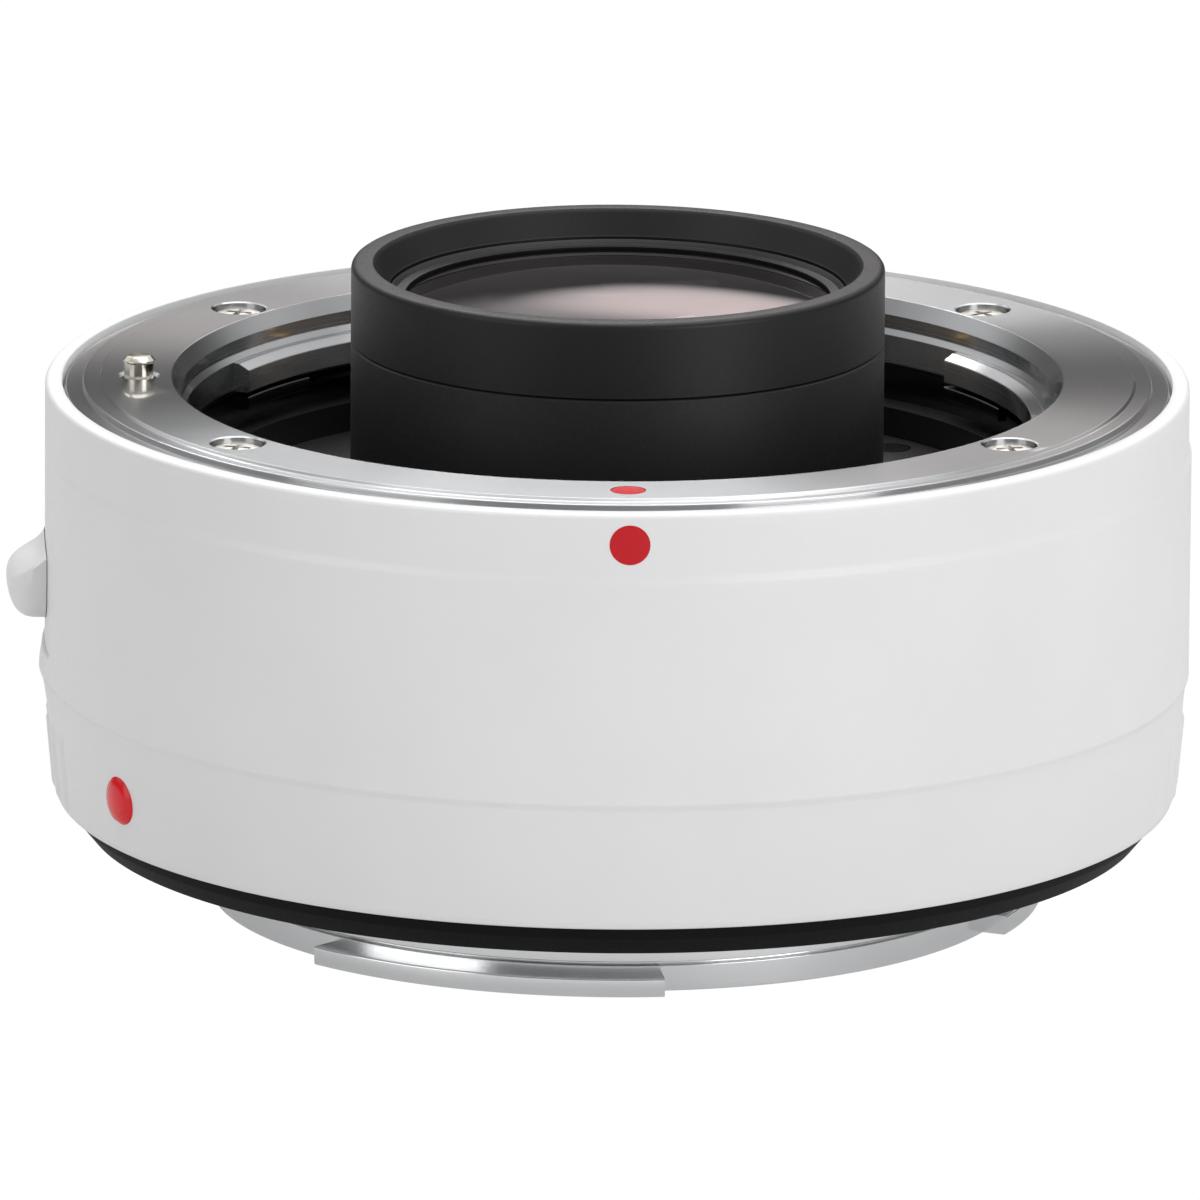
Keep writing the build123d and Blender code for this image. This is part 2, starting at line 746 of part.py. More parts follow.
# Base plate: closes the chassis on the camera's side and carries the board, the lever base and the ring
with BuildPart() as rear_base_plate:
    with BuildSketch(Plane.XY.offset(chassis_bottom)):
        Circle(deck_radius)
        Circle(plate_bore_radius, mode=Mode.SUBTRACT)
    extrude(amount=plate_thickness)
    for angle in (-board_screw_angle, board_screw_angle):
        with BuildSketch(Plane.XY.offset(plate_top)):
            with Locations(ring_point(board_screw_place, contact_azimuth + angle)):
                Circle(board_boss_radius)
        extrude(amount=board_boss_height)
    for azimuth in plate_screw_azimuths:
        with Locations(Location(ring_point(plate_screw_place, azimuth, chassis_bottom), (180, 0, 0))):
            CounterBoreHole(
                small_shank_radius + glass_gap,
                small_head_radius + fit_gap,
                small_head_height,
                plate_thickness,
            )
    # Threaded holes for the screws that come through the ring, the block, the board and the lever base
    with BuildSketch(Plane.XY.offset(board_height)):
        for angle in (-board_screw_angle, board_screw_angle):
            with Locations(ring_point(board_screw_place, contact_azimuth + angle)):
                Circle(small_shank_radius + glass_gap)
    extrude(amount=board_top - board_height - small_shank_length, mode=Mode.SUBTRACT)
    with BuildSketch(Plane.XY.offset(chassis_bottom)):
        for azimuth in rear_screw_azimuths:
            with Locations(ring_point(rear_screw_place, azimuth)):
                Circle(mount_shank_radius + glass_gap)
        for angle in (-rear_block_screw_angle, rear_block_screw_angle):
            with Locations(ring_point(rear_block_screw_place, contact_azimuth + angle)):
                Circle(small_shank_radius + glass_gap)
        for angle in (-lever_base_screw_angle, lever_base_screw_angle):
            with Locations(ring_point(post_place, lever_azimuth + angle)):
                Circle(small_shank_radius + glass_gap)
    extrude(amount=plate_thickness, mode=Mode.SUBTRACT)
    # Slot for the tail boss of the camera-side contact block
    with BuildSketch(Plane.XY.offset(chassis_bottom)):
        with Locations(ring_point(rear_block_screw_place, contact_azimuth)):
            Rectangle(2 * (tail_boss_half_width + fit_gap), tail_boss_depth + 2 * fit_gap)
    extrude(amount=plate_thickness, mode=Mode.SUBTRACT)
rear_base_plate.part.label = "rear_base_plate"
export_step(rear_base_plate.part, "parts/rear_base_plate.step")

# Lens barrel: anodised tube that stands through the chassis and holds the three glass groups
glass_bore = front_glass_radius + glass_gap
rear_glass_bore = rear_glass_radius + glass_gap
with BuildPart() as lens_barrel:
    add(
        turned(
            (neck_bore_radius, neck_top_height),
            (neck_radius, neck_top_height),
            (neck_radius, barrel_seam_height),
            (barrel_radius, barrel_seam_height),
            (barrel_radius, floor_height),
            (well_radius - fit_gap, floor_height),
            (well_radius - fit_gap, shelf_height),
            (barrel_radius, shelf_height),
            (barrel_radius, barrel_bottom_height),
            (rear_glass_radius - seat_lip, barrel_bottom_height),
            (rear_glass_radius - seat_lip, rear_group_low_rim_height),
            (rear_glass_bore, rear_group_low_rim_height),
            (rear_glass_bore, middle_group_rim_height),
            (glass_bore, middle_group_rim_height),
            (glass_bore, neck_step_height),
            (neck_bore_radius, neck_step_height),
        )
    )
    with BuildSketch(Plane.XY.offset(shelf_height)):
        add(
            ring_sector(
                block_inner_radius - fit_gap,
                block_outer_radius + fit_gap,
                contact_azimuth - block_half_angle - window_angle_gap,
                2 * (block_half_angle + window_angle_gap),
            )
        )
        for angle in (-block_screw_angle, block_screw_angle):
            with Locations(ring_point(contact_place, contact_azimuth + angle)):
                Circle(small_shank_radius + glass_gap)
    extrude(amount=barrel_flange_thickness, mode=Mode.SUBTRACT)
    for azimuth in barrel_screw_azimuths:
        with Locations(ring_point(barrel_screw_place, azimuth, floor_height)):
            CounterBoreHole(
                small_shank_radius + glass_gap,
                small_head_radius + fit_gap,
                small_head_height,
                barrel_flange_thickness,
            )
lens_barrel.part.label = "lens_barrel"
export_step(lens_barrel.part, "parts/lens_barrel.step")

# Barrel cap: the ring that screws over the barrel's neck and frames the front glass
with BuildPart() as barrel_cap:
    add(
        turned(
            (neck_radius + glass_gap, barrel_seam_height),
            (barrel_radius - seam_chamfer, barrel_seam_height),
            (barrel_radius, barrel_seam_height + seam_chamfer),
            (barrel_radius, barrel_top_height),
            (cap_bore_radius, barrel_top_height),
            (neck_bore_radius + glass_gap, cap_ledge_height),
            (neck_bore_radius + glass_gap, cap_ledge_height - cap_ledge_thickness),
            (neck_radius + glass_gap, cap_ledge_height - cap_ledge_thickness),
        )
    )
    cap_top_edges = barrel_cap.edges().filter_by(GeomType.CIRCLE).group_by(Axis.Z)[-1].sort_by(SortBy.RADIUS)
    fillet(cap_top_edges[-1], cap_edge_round)
    chamfer(cap_top_edges[0], cap_bore_chamfer)
barrel_cap.part.label = "barrel_cap"
export_step(barrel_cap.part, "parts/barrel_cap.step")

# Seven glass elements: a doublet, a triplet and a doublet
elements = (
    lens_element(
        front_glass_radius,
        front_rim_height,
        front_crown_height,
        front_joint_rim_height,
        front_joint_centre_height,
        (front_bevel_width, front_bevel_height),
    ),
    lens_element(
        front_glass_radius,
        front_joint_rim_height,
        front_joint_centre_height,
        front_group_rim_height,
        front_group_centre_height,
    ),
    lens_element(
        rear_glass_radius,
        middle_group_rim_height,
        middle_group_centre_height,
        middle_joint_rim_height,
        middle_joint_centre_height,
    ),
    lens_element(
        rear_glass_radius,
        middle_joint_rim_height,
        middle_joint_centre_height,
        middle_joint_low_rim_height,
        middle_joint_low_centre_height,
    ),
    lens_element(
        rear_glass_radius,
        middle_joint_low_rim_height,
        middle_joint_low_centre_height,
        middle_group_low_rim_height,
        middle_group_low_centre_height,
    ),
    lens_element(
        rear_glass_radius,
        rear_group_rim_height,
        rear_group_centre_height,
        rear_joint_rim_height,
        rear_joint_centre_height,
    ),
    lens_element(
        rear_glass_radius,
        rear_joint_rim_height,
        rear_joint_centre_height,
        rear_group_low_rim_height,
        rear_group_low_centre_height,
    ),
)
for number, element in enumerate(elements, start=1):
    with BuildPart() as glass:
        add(element)
    glass.part.label = f"lens_element_{number}"
    export_step(glass.part, f"parts/lens_element_{number}.step")

# Retaining ring of the front glass
retainer_outer_radius = neck_bore_radius - glass_gap
retainer_seat_radius = front_glass_radius - front_bevel_width
with BuildPart() as front_retaining_ring:
    add(
        turned(
            (retainer_outer_radius, neck_step_height),
            (glass_bore, neck_step_height),
            (glass_bore, front_rim_height),
            (retainer_seat_radius + glass_gap, front_rim_height + front_bevel_height),
            (retainer_seat_radius + glass_gap, front_rim_height + front_bevel_height + retainer_step_height),
            (glass_bore + retainer_lip, front_rim_height + front_bevel_height + retainer_step_height),
            (retainer_outer_radius, neck_step_height + retainer_height),
        )
    )
front_retaining_ring.part.label = "front_retaining_ring"
export_step(front_retaining_ring.part, "parts/front_retaining_ring.step")

# Spacers between the glass groups
with BuildPart() as front_spacer:
    with BuildSketch(Plane.XY.offset(middle_group_rim_height)):
        Circle(front_glass_radius)
        Circle(front_glass_radius - front_spacer_wall, mode=Mode.SUBTRACT)
    extrude(amount=front_group_rim_height - middle_group_rim_height)
front_spacer.part.label = "front_spacer"
export_step(front_spacer.part, "parts/front_spacer.step")

rear_spacer_bore = rear_glass_radius - rear_spacer_wall
rear_seat_share = 1 - (rear_spacer_bore / rear_glass_radius) ** 2
with BuildPart() as rear_spacer:
    add(
        turned(
            (rear_glass_radius, rear_group_rim_height),
            (rear_glass_radius, middle_group_low_rim_height),
            (rear_spacer_bore, middle_group_low_rim_height),
            (
                rear_spacer_bore,
                rear_group_rim_height
                + (rear_group_centre_height - rear_group_rim_height) * rear_seat_share
                + glass_gap,
            ),
        )
    )
rear_spacer.part.label = "rear_spacer"
export_step(rear_spacer.part, "parts/rear_spacer.step")

# Rear light baffle: a stepped black funnel under the chassis plate, notched for the contact block
baffle_radius = spigot_bore_radius - 2 * fit_gap
baffle_low = chassis_bottom - baffle_rim_height
baffle_mouth_low = barrel_bottom_height - glass_gap - baffle_mouth_thickness
baffle_stairs = []
for step in range(baffle_steps):
    tread = (baffle_flare_radius - baffle_mouth_radius) / baffle_steps
    riser = (baffle_mouth_low - baffle_low) / baffle_steps
    baffle_stairs.append((baffle_flare_radius - tread * step, baffle_low + riser * step))
    baffle_stairs.append((baffle_flare_radius - tread * step, baffle_low + riser * (step + 1)))
with BuildPart() as rear_baffle:
    add(
        turned(
            (baffle_radius, baffle_low),
            (baffle_radius, chassis_bottom),
            (barrel_radius + 2 * fit_gap, chassis_bottom),
            (barrel_radius + 2 * fit_gap, barrel_bottom_height - glass_gap),
            (baffle_mouth_radius, barrel_bottom_height - glass_gap),
            (baffle_mouth_radius, baffle_mouth_low),
            *reversed(baffle_stairs),
        )
    )
    with BuildSketch(Plane.XY.offset(baffle_low)):
        add(
            ring_sector(
                rear_block_inner_radius - fit_gap,
                baffle_radius + cut_overrun,
                contact_azimuth - baffle_notch_half_angle,
                2 * baffle_notch_half_angle,
            )
        )
    extrude(amount=baffle_rim_height, mode=Mode.SUBTRACT)
rear_baffle.part.label = "rear_baffle"
export_step(rear_baffle.part, "parts/rear_baffle.step")

# Camera-side bayonet ring: chromed flange, spigot and three outward claws
with BuildPart() as rear_mount_ring:
    add(
        turned(
            (spigot_bore_radius, rear_flange_thickness),
            (rear_flange_radius, rear_flange_thickness),
            (rear_flange_radius, 0),
            (spigot_radius, 0),
            (spigot_radius, -spigot_step_depth),
            (spigot_radius - spigot_step, -spigot_step_depth),
            (spigot_radius - spigot_step, -spigot_length),
            (spigot_bore_radius, -spigot_length),
        )
    )
    for start, sweep_angle in zip(rear_claw_starts, rear_claw_sweeps):
        with BuildSketch(Plane.XY.offset(-spigot_length)):
            add(ring_sector(spigot_radius - spigot_wall / 2, rear_claw_radius, start, sweep_angle))
        extrude(amount=rear_claw_thickness)
    for azimuth in rear_screw_azimuths:
        with Locations(Location(ring_point(rear_screw_place, azimuth), (180, 0, 0))):
            CounterBoreHole(
                mount_shank_radius + fit_gap,
                mount_head_radius + fit_gap,
                mount_head_height + mount_head_sunk,
                rear_flange_thickness,
            )
    with Locations(ring_point(lock_pin_place, lever_azimuth, rear_flange_thickness)):
        Hole(socket_radius, rear_flange_thickness)
rear_mount_ring.part.label = "rear_mount_ring"
export_step(rear_mount_ring.part, "parts/rear_mount_ring.step")

# Shim between the chassis and the camera-side ring, which sets the flange distance
with BuildPart() as rear_mount_shim:
    with BuildSketch(Plane.XY.offset(rear_flange_thickness)):
        Circle(shim_outer_radius)
        Circle(shim_inner_radius, mode=Mode.SUBTRACT)
        for azimuth in rear_screw_azimuths:
            with Locations(ring_point(rear_screw_place, azimuth)):
                Circle(mount_shank_radius + fit_gap, mode=Mode.SUBTRACT)
        # Notch from the lock socket out to the edge
        notch_start = lock_pin_place - socket_radius - fit_gap
        notch_length = shim_outer_radius - notch_start + cut_overrun
        with Locations(ring_point(notch_start + notch_length / 2, lever_azimuth)):
            Rectangle(notch_length, 2 * (socket_radius + fit_gap), mode=Mode.SUBTRACT)
    extrude(amount=shim_thickness)
rear_mount_shim.part.label = "rear_mount_shim"
export_step(rear_mount_shim.part, "parts/rear_mount_shim.step")

# Rubber seal: a skirt round the camera-side flange that presses on the camera's body
seal_bore = rear_flange_radius + glass_gap
with BuildPart() as rear_seal:
    add(
        turned(
            (seal_bore, chassis_bottom - foot_height),
            (seal_bore + seal_wall, chassis_bottom - foot_height),
            (seal_bore + seal_wall, foot_height - glass_gap),
            (seal_skirt_radius, foot_height - glass_gap),
            (seal_tip_radius, -seal_drop),
            (seal_tip_radius - seal_wall + fit_gap, -seal_drop),
            (seal_bore + fit_gap, -glass_gap),
            (seal_bore, -glass_gap),
        )
    )
rear_seal.part.label = "rear_seal"
export_step(rear_seal.part, "parts/rear_seal.step")

# Camera-side contact block, with counterbored ears, pad pockets and a boss for its tails
pad_place = rear_block_screw_place
pad_angles = [pad_step * (number - (pad_count - 1) / 2) for number in range(pad_count)]
with BuildPart() as rear_contact_block:
    with BuildSketch(Plane.XY.offset(-rear_block_drop)):
        add(
            ring_sector(
                rear_block_inner_radius,
                rear_block_outer_radius,
                contact_azimuth - rear_block_half_angle,
                2 * rear_block_half_angle,
            )
        )
    extrude(amount=rear_block_drop + chassis_bottom)
    with BuildSketch(Plane.XY.offset(chassis_bottom)):
        with Locations(ring_point(pad_place, contact_azimuth)):
            Rectangle(2 * tail_boss_half_width, tail_boss_depth)
    extrude(amount=board_height - chassis_bottom)
    for angle in (-rear_block_screw_angle, rear_block_screw_angle):
        head_place = ring_point(rear_block_screw_place, contact_azimuth + angle, -rear_block_drop)
        with Locations(Location(head_place, (180, 0, 0))):
            CounterBoreHole(
                small_shank_radius + glass_gap,
                small_head_radius + fit_gap,
                rear_block_drop + chassis_bottom - rear_block_screw_floor,
                rear_block_drop + chassis_bottom,
            )
    with BuildSketch(Plane.XY.offset(-rear_block_drop)):
        for angle in pad_angles:
            with Locations(Location(ring_point(pad_place, contact_azimuth + angle), contact_azimuth + angle)):
                Rectangle(pad_length + fit_gap, pad_width + fit_gap)
    extrude(amount=pad_thickness - pad_proud, mode=Mode.SUBTRACT)
rear_contact_block.part.label = "rear_contact_block"
export_step(rear_contact_block.part, "parts/rear_contact_block.step")

# Gold pads that meet the camera's pins
with BuildPart() as rear_contact_pads:
    with BuildSketch(Plane.XY.offset(-rear_block_drop - pad_proud)):
        for angle in pad_angles:
            with Locations(Location(ring_point(pad_place, contact_azimuth + angle), contact_azimuth + angle)):
                Rectangle(pad_length, pad_width)
    extrude(amount=pad_thickness)
rear_contact_pads.part.label = "rear_contact_pads"
export_step(rear_contact_pads.part, "parts/rear_contact_pads.step")

# Lens-side contact block: a stepped moulding through the window, with a stepped bore for each pin
pin_angles = [contact_step * (number - (contact_count - 1) / 2) for number in range(contact_count)]
block_screw_seat = floor_height + block_screw_floor
with BuildPart() as front_contact_block:
    with BuildSketch(Plane.XY.offset(web_underside)):
        add(
            ring_sector(
                block_inner_radius,
                block_outer_radius,
                contact_azimuth - block_half_angle,
                2 * block_half_angle,
            )
        )
    extrude(amount=block_top_height - web_underside)
    with BuildSketch(Plane.XY.offset(floor_height)):
        add(
            ring_sector(
                block_inner_radius - block_shoulder_overhang,
                block_outer_radius + block_shoulder_overhang,
                contact_azimuth - block_shoulder_half_angle,
                2 * block_shoulder_half_angle,
            )
        )
    extrude(amount=block_top_height - floor_height)
    for angle in pin_angles:
        pin_place = ring_point(contact_place, contact_azimuth + angle, web_underside)
        with Locations(Location(pin_place, (180, 0, 0))):
            CounterBoreHole(
                pin_radius + slide_gap,
                pin_collar_radius + slide_gap,
                block_top_height - block_roof - web_underside,
                block_top_height - web_underside,
            )
    for angle in (-block_screw_angle, block_screw_angle):
        with Locations(ring_point(contact_place, contact_azimuth + angle, block_top_height)):
            CounterBoreHole(
                small_shank_radius + glass_gap,
                small_head_radius + fit_gap,
                block_top_height - block_screw_seat,
                block_top_height - floor_height,
            )
front_contact_block.part.label = "front_contact_block"
export_step(front_contact_block.part, "parts/front_contact_block.step")

# Contact pins and the springs under them, one of each for every contact
spring_coil = coil_spring(
    contact_coil_radius,
    contact_wire,
    pin_collar_top - pin_collar_height - web_underside,
    contact_coil_turns,
    coil_sides,
)
for number, angle in enumerate(pin_angles, start=1):
    with BuildPart() as contact_pin:
        with BuildSketch(Plane.XY.offset(pin_collar_top - pin_collar_height)):
            with Locations(ring_point(contact_place, contact_azimuth + angle)):
                Circle(pin_collar_radius)
        extrude(amount=pin_collar_height)
        with BuildSketch(Plane.XY.offset(pin_collar_top)):
            with Locations(ring_point(contact_place, contact_azimuth + angle)):
                Circle(pin_radius)
        extrude(amount=pin_tip_height - pin_collar_top)
        chamfer(contact_pin.edges().group_by(Axis.Z)[-1], pin_tip_chamfer)
    contact_pin.part.label = f"contact_pin_{number}"
    export_step(contact_pin.part, f"parts/contact_pin_{number}.step")
    with BuildPart() as contact_spring:
        with Locations(ring_point(contact_place, contact_azimuth + angle, web_underside)):
            add(spring_coil)
    contact_spring.part.label = f"contact_spring_{number}"
    export_step(contact_spring.part, f"parts/contact_spring_{number}.step")

# Circuit board with its two chips, on two bosses of the chassis plate
with BuildPart() as circuit_board:
    with BuildSketch(Plane.XY.offset(board_height)):
        add(
            ring_sector(
                board_inner_radius,
                board_outer_radius,
                contact_azimuth - board_half_angle,
                2 * board_half_angle,
            )
        )
        for angle in (-board_screw_angle, board_screw_angle):
            with Locations(ring_point(board_screw_place, contact_azimuth + angle)):
                Circle(small_shank_radius + glass_gap, mode=Mode.SUBTRACT)
    extrude(amount=board_thickness)
    with BuildSketch(Plane.XY.offset(board_top)):
        for angle in chip_angles:
            chip_place = ring_point(board_screw_place, contact_azimuth + angle)
            with Locations(Location(chip_place, contact_azimuth + angle)):
                Rectangle(chip_side, chip_side)
    extrude(amount=chip_height)
circuit_board.part.label = "circuit_board"
export_step(circuit_board.part, "parts/circuit_board.step")

# Flexible cable from under the lens-side pins down to the board
with BuildPart() as flex_cable:
    with BuildSketch(Plane.XY.offset(web_underside - flex_thickness)):
        add(
            ring_sector(
                block_inner_radius,
                block_outer_radius,
                contact_azimuth - block_half_angle,
                2 * block_half_angle,
            )
        )
    extrude(amount=flex_thickness)
    with BuildSketch(on_axis_plane(contact_azimuth)):
        with BuildLine():
            Polyline(
                (contact_place, web_underside),
                (flex_run_radius, web_underside),
                (flex_run_radius, board_top),
                (flex_run_radius - flex_foot_length, board_top),
                (flex_run_radius - flex_foot_length, board_top + flex_thickness),
                (flex_run_radius - flex_thickness, board_top + flex_thickness),
                (flex_run_radius - flex_thickness, web_underside - flex_thickness),
                (contact_place, web_underside - flex_thickness),
                close=True,
            )
        make_face()
    extrude(amount=flex_half_width, both=True)
flex_cable.part.label = "flex_cable"
export_step(flex_cable.part, "parts/flex_cable.step")

# Small screws that hold the barrel, both contact blocks, the board, the lever base and the base plate
upward_seats = (
    [(barrel_screw_place, azimuth, floor_height - small_head_height) for azimuth in barrel_screw_azimuths]
    + [(contact_place, contact_azimuth + side * block_screw_angle, block_screw_seat) for side in (-1, 1)]
    + [(board_screw_place, contact_azimuth + side * board_screw_angle, board_top) for side in (-1, 1)]
    + [(post_place, lever_azimuth + side * lever_base_screw_angle, lever_base_top) for side in (-1, 1)]
)
block_seat = chassis_bottom - rear_block_screw_floor
plate_seat = chassis_bottom + small_head_height
downward_seats = [
    (rear_block_screw_place, contact_azimuth + side * rear_block_screw_angle, block_seat) for side in (-1, 1)
] + [(plate_screw_place, azimuth, plate_seat) for azimuth in plate_screw_azimuths]
with BuildPart() as assembly_screws:
    for place, azimuth, seat in upward_seats:
        with Locations(ring_point(place, azimuth, seat)):
            add(small_screw())
    for place, azimuth, seat in downward_seats:
        with Locations(Location(ring_point(place, azimuth, seat), (180, 0, 0))):
            add(small_screw())
assembly_screws.part.label = "assembly_screws"
export_step(assembly_screws.part, "parts/assembly_screws.step")

# Lever base: the foot that holds the guide posts, screwed to the chassis plate
with BuildPart() as lever_base:
    with BuildSketch(Plane.XY.offset(plate_top)):
        add(
            ring_sector(
                lever_base_inner_radius,
                lever_base_outer_radius,
                lever_azimuth - lever_base_half_angle,
                2 * lever_base_half_angle,
            )
        )
        for side in (-1, 1):
            with Locations(ring_point(post_place, lever_azimuth + side * lever_base_screw_angle)):
                Circle(small_shank_radius + glass_gap, mode=Mode.SUBTRACT)
    extrude(amount=lever_base_thickness)
    with BuildSketch(Plane.XY.offset(lever_base_top)):
        for side in (-1, 1):
            with Locations(ring_point(post_place, lever_azimuth + side * post_angle)):
                Circle(post_radius + glass_gap)
    extrude(amount=-post_foot, mode=Mode.SUBTRACT)
lever_base.part.label = "lever_base"
export_step(lever_base.part, "parts/lever_base.step")

# Guide posts that the bracket slides on, and the two springs round them
with BuildPart() as guide_posts:
    with BuildSketch(Plane.XY.offset(lever_base_top - post_foot)):
        for side in (-1, 1):
            with Locations(ring_point(post_place, lever_azimuth + side * post_angle)):
                Circle(post_radius)
    extrude(amount=deck_underside - lever_base_top + 2 * post_foot)
guide_posts.part.label = "guide_posts"
export_step(guide_posts.part, "parts/guide_posts.step")

lock_coil_radius = post_radius + coil_gap + coil_wire / 2
lock_coil_length = bracket_height - lever_base_top
lock_coil = coil_spring(lock_coil_radius, coil_wire, lock_coil_length, coil_turns, 2 * coil_sides)
with BuildPart() as lock_springs:
    for side in (-1, 1):
        with Locations(ring_point(post_place, lever_azimuth + side * post_angle, lever_base_top)):
            add(lock_coil)
lock_springs.part.label = "lock_springs"
export_step(lock_springs.part, "parts/lock_springs.step")

# Lever bracket: a pressed plate that joins the lever to the lock pin
with BuildPart() as lever_bracket:
    with BuildSketch(Plane.XY.offset(bracket_height)):
        add(
            ring_sector(
                bracket_inner_radius,
                bracket_outer_radius,
                lever_azimuth - bracket_half_angle,
                2 * bracket_half_angle,
            )
        )
        with Locations(ring_point(lock_pin_place, lever_azimuth)):
            Circle(bracket_nose_radius)
            Circle(lock_pin_radius, mode=Mode.SUBTRACT)
        for side in (-1, 1):
            with Locations(ring_point(post_place, lever_azimuth + side * post_angle)):
                Circle(post_radius + slide_gap, mode=Mode.SUBTRACT)
        with Locations(ring_point(lever_screw_place, lever_azimuth)):
            Circle(small_shank_radius + glass_gap, mode=Mode.SUBTRACT)
    extrude(amount=bracket_thickness)
lever_bracket.part.label = "lever_bracket"
export_step(lever_bracket.part, "parts/lever_bracket.step")

# Lock pin: stands out of the lens flange, with a collar that stops it under the deck
lock_collar_top = deck_underside - fit_gap
lock_pin_top = flange_distance + lock_pin_proud
lock_pin_head = lock_pin_top - lock_pin_head_height
lock_pin_origin = ring_point(lock_pin_place, lever_azimuth)
with BuildPart() as lock_pin:
    with BuildSketch(Plane(origin=lock_pin_origin, x_dir=(1, 0, 0), z_dir=(0, -1, 0))):
        with BuildLine():
            Polyline(
                (0, bracket_height),
                (lock_pin_radius, bracket_height),
                (lock_pin_radius, lock_collar_top - lock_collar_height),
                (lock_collar_radius, lock_collar_top - lock_collar_height),
                (lock_collar_radius, lock_collar_top),
                (lock_pin_radius, lock_collar_top),
                (lock_pin_radius, deck_height),
                (lock_pin_neck_radius, deck_height),
                (lock_pin_neck_radius, lock_pin_head - lock_pin_head_chamfer),
                (lock_pin_radius, lock_pin_head),
                (lock_pin_radius, lock_pin_top - lock_pin_chamfer),
                (lock_pin_radius - lock_pin_chamfer, lock_pin_top),
                (0, lock_pin_top),
                close=True,
            )
        make_face()
    revolve(axis=Axis(lock_pin_origin, (0, 0, 1)))
lock_pin.part.label = "lock_pin"
export_step(lock_pin.part, "parts/lock_pin.step")

# Release lever: the white thumb piece, with a stem that reaches through the shell
with BuildPart() as release_lever:
    with BuildSketch(on_axis_plane(lever_azimuth)):
        with BuildLine():
            Polyline(*knob_points(knob_flank_shares))
            ThreePointArc(*knob_points(knob_chin_shares))
            ThreePointArc(*knob_points(knob_nose_shares))
            Polyline(*knob_points(knob_brow_shares))
        make_face()
    extrude(amount=knob_half_width, both=True)
    with BuildSketch(Plane.XY.offset(knob_bottom_height)):
        with BuildLine():
            bevel_start = knob_back + knob_depth * knob_bevel_share
            Polyline(
                (-knob_back, -knob_half_width),
                (-bevel_start, -knob_half_width),
                (-knob_reach, -knob_tip_half_width),
                (-knob_reach, knob_tip_half_width),
                (-bevel_start, knob_half_width),
                (-knob_back, knob_half_width),
                close=True,
            )
        make_face()
    extrude(amount=knob_height, mode=Mode.INTERSECT)
    with BuildSketch(Plane.XY.offset(stem_bottom_height)):
        with Locations((-(knob_back + stem_end_place) / 2, 0)):
            Rectangle(knob_back - stem_end_place + glass_gap, 2 * stem_half_width)
        with Locations(ring_point(lever_screw_place, lever_azimuth)):
            Circle(small_shank_radius + glass_gap, mode=Mode.SUBTRACT)
    extrude(amount=stem_height)
release_lever.part.label = "release_lever"
export_step(release_lever.part, "parts/release_lever.step")

# Screw that holds the lever's stem on the bracket
with BuildPart() as lever_screw:
    with Locations(ring_point(lever_screw_place, lever_azimuth, stem_bottom_height + stem_height)):
        add(small_screw())
lever_screw.part.label = "lever_screw"
export_step(lever_screw.part, "parts/lever_screw.step")

# Camera index bead: a red domed bead pressed into the shell
bead_plane = radial_plane(bead_azimuth, bead_seat_radius - bead_seat_depth, bead_height)
bead_crown = (0, bead_seat_depth + bead_proud)
bead_rim = (bead_radius, bead_seat_depth)
bead_middle = spherical_height(bead_radius, bead_rim[1], bead_crown[1])
with BuildPart() as rear_index_bead:
    with BuildSketch(Plane(origin=bead_plane.origin, x_dir=bead_plane.x_dir, z_dir=-bead_plane.y_dir)):
        with BuildLine():
            Polyline(
                bead_crown,
                (0, -bead_stem_length),
                (bead_stem_radius, -bead_stem_length),
                (bead_stem_radius, 0),
                (bead_radius, 0),
                bead_rim,
            )
            ThreePointArc(bead_rim, bead_middle, bead_crown)
        make_face()
    revolve(axis=Axis(bead_plane.origin, bead_plane.z_dir))
rear_index_bead.part.label = "rear_index_bead"
export_step(rear_index_bead.part, "parts/rear_index_bead.step")
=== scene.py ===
from math import cos, pi, radians, sin

import bmesh
import bpy
import numpy as np
from mathutils import Matrix, Vector


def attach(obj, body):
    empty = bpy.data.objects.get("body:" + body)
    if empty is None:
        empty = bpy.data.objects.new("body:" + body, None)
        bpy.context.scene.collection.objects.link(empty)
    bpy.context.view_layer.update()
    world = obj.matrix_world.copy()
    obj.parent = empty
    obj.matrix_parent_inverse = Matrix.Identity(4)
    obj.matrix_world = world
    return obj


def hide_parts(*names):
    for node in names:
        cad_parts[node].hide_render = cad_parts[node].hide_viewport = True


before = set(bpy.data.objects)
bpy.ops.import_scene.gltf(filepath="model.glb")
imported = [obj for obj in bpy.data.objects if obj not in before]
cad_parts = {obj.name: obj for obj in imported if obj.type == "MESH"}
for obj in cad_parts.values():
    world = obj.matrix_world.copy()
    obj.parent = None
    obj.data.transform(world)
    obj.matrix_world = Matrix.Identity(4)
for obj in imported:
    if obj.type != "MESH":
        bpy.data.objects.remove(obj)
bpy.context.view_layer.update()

# A camera teleconverter, seen from a little above its lens-side face. The optical axis is Z, and the
# shell's index dot faces -Y. The object's sizes are millimetres, and angles are degrees from +X towards +Y.
# Outlines are (radius, height) corners, and a third number rounds that corner.
MM = 0.001
LEVER_SIDE = 180.0
CONTACT_SIDE = 90.0
# Distance of the lock pin from the axis.
LOCK_PLACE = 29.95

# Steps round a full turn: rings, glass, lock pin, dots and bead and the pin's wells, screws and theirs.
FINE_TURN = 288
GLASS_TURN = 192
PIN_TURN = 64
DOT_TURN = 48
SMALL_TURN = 40
# Points along a quarter round of the shell, and rows from rim to middle of a glass face.
QUARTER_POINTS = 7
GLASS_ROWS = 14

# An edge stays sharp where the surface turns by more than this.
SHARP = 32
SHARP_PAINTED = 50
SHARP_KNOB = 60
SHARP_GLASS = 20

# Points closer than this are one point.
MERGE_GAP = 0.0002

# Mesh helpers


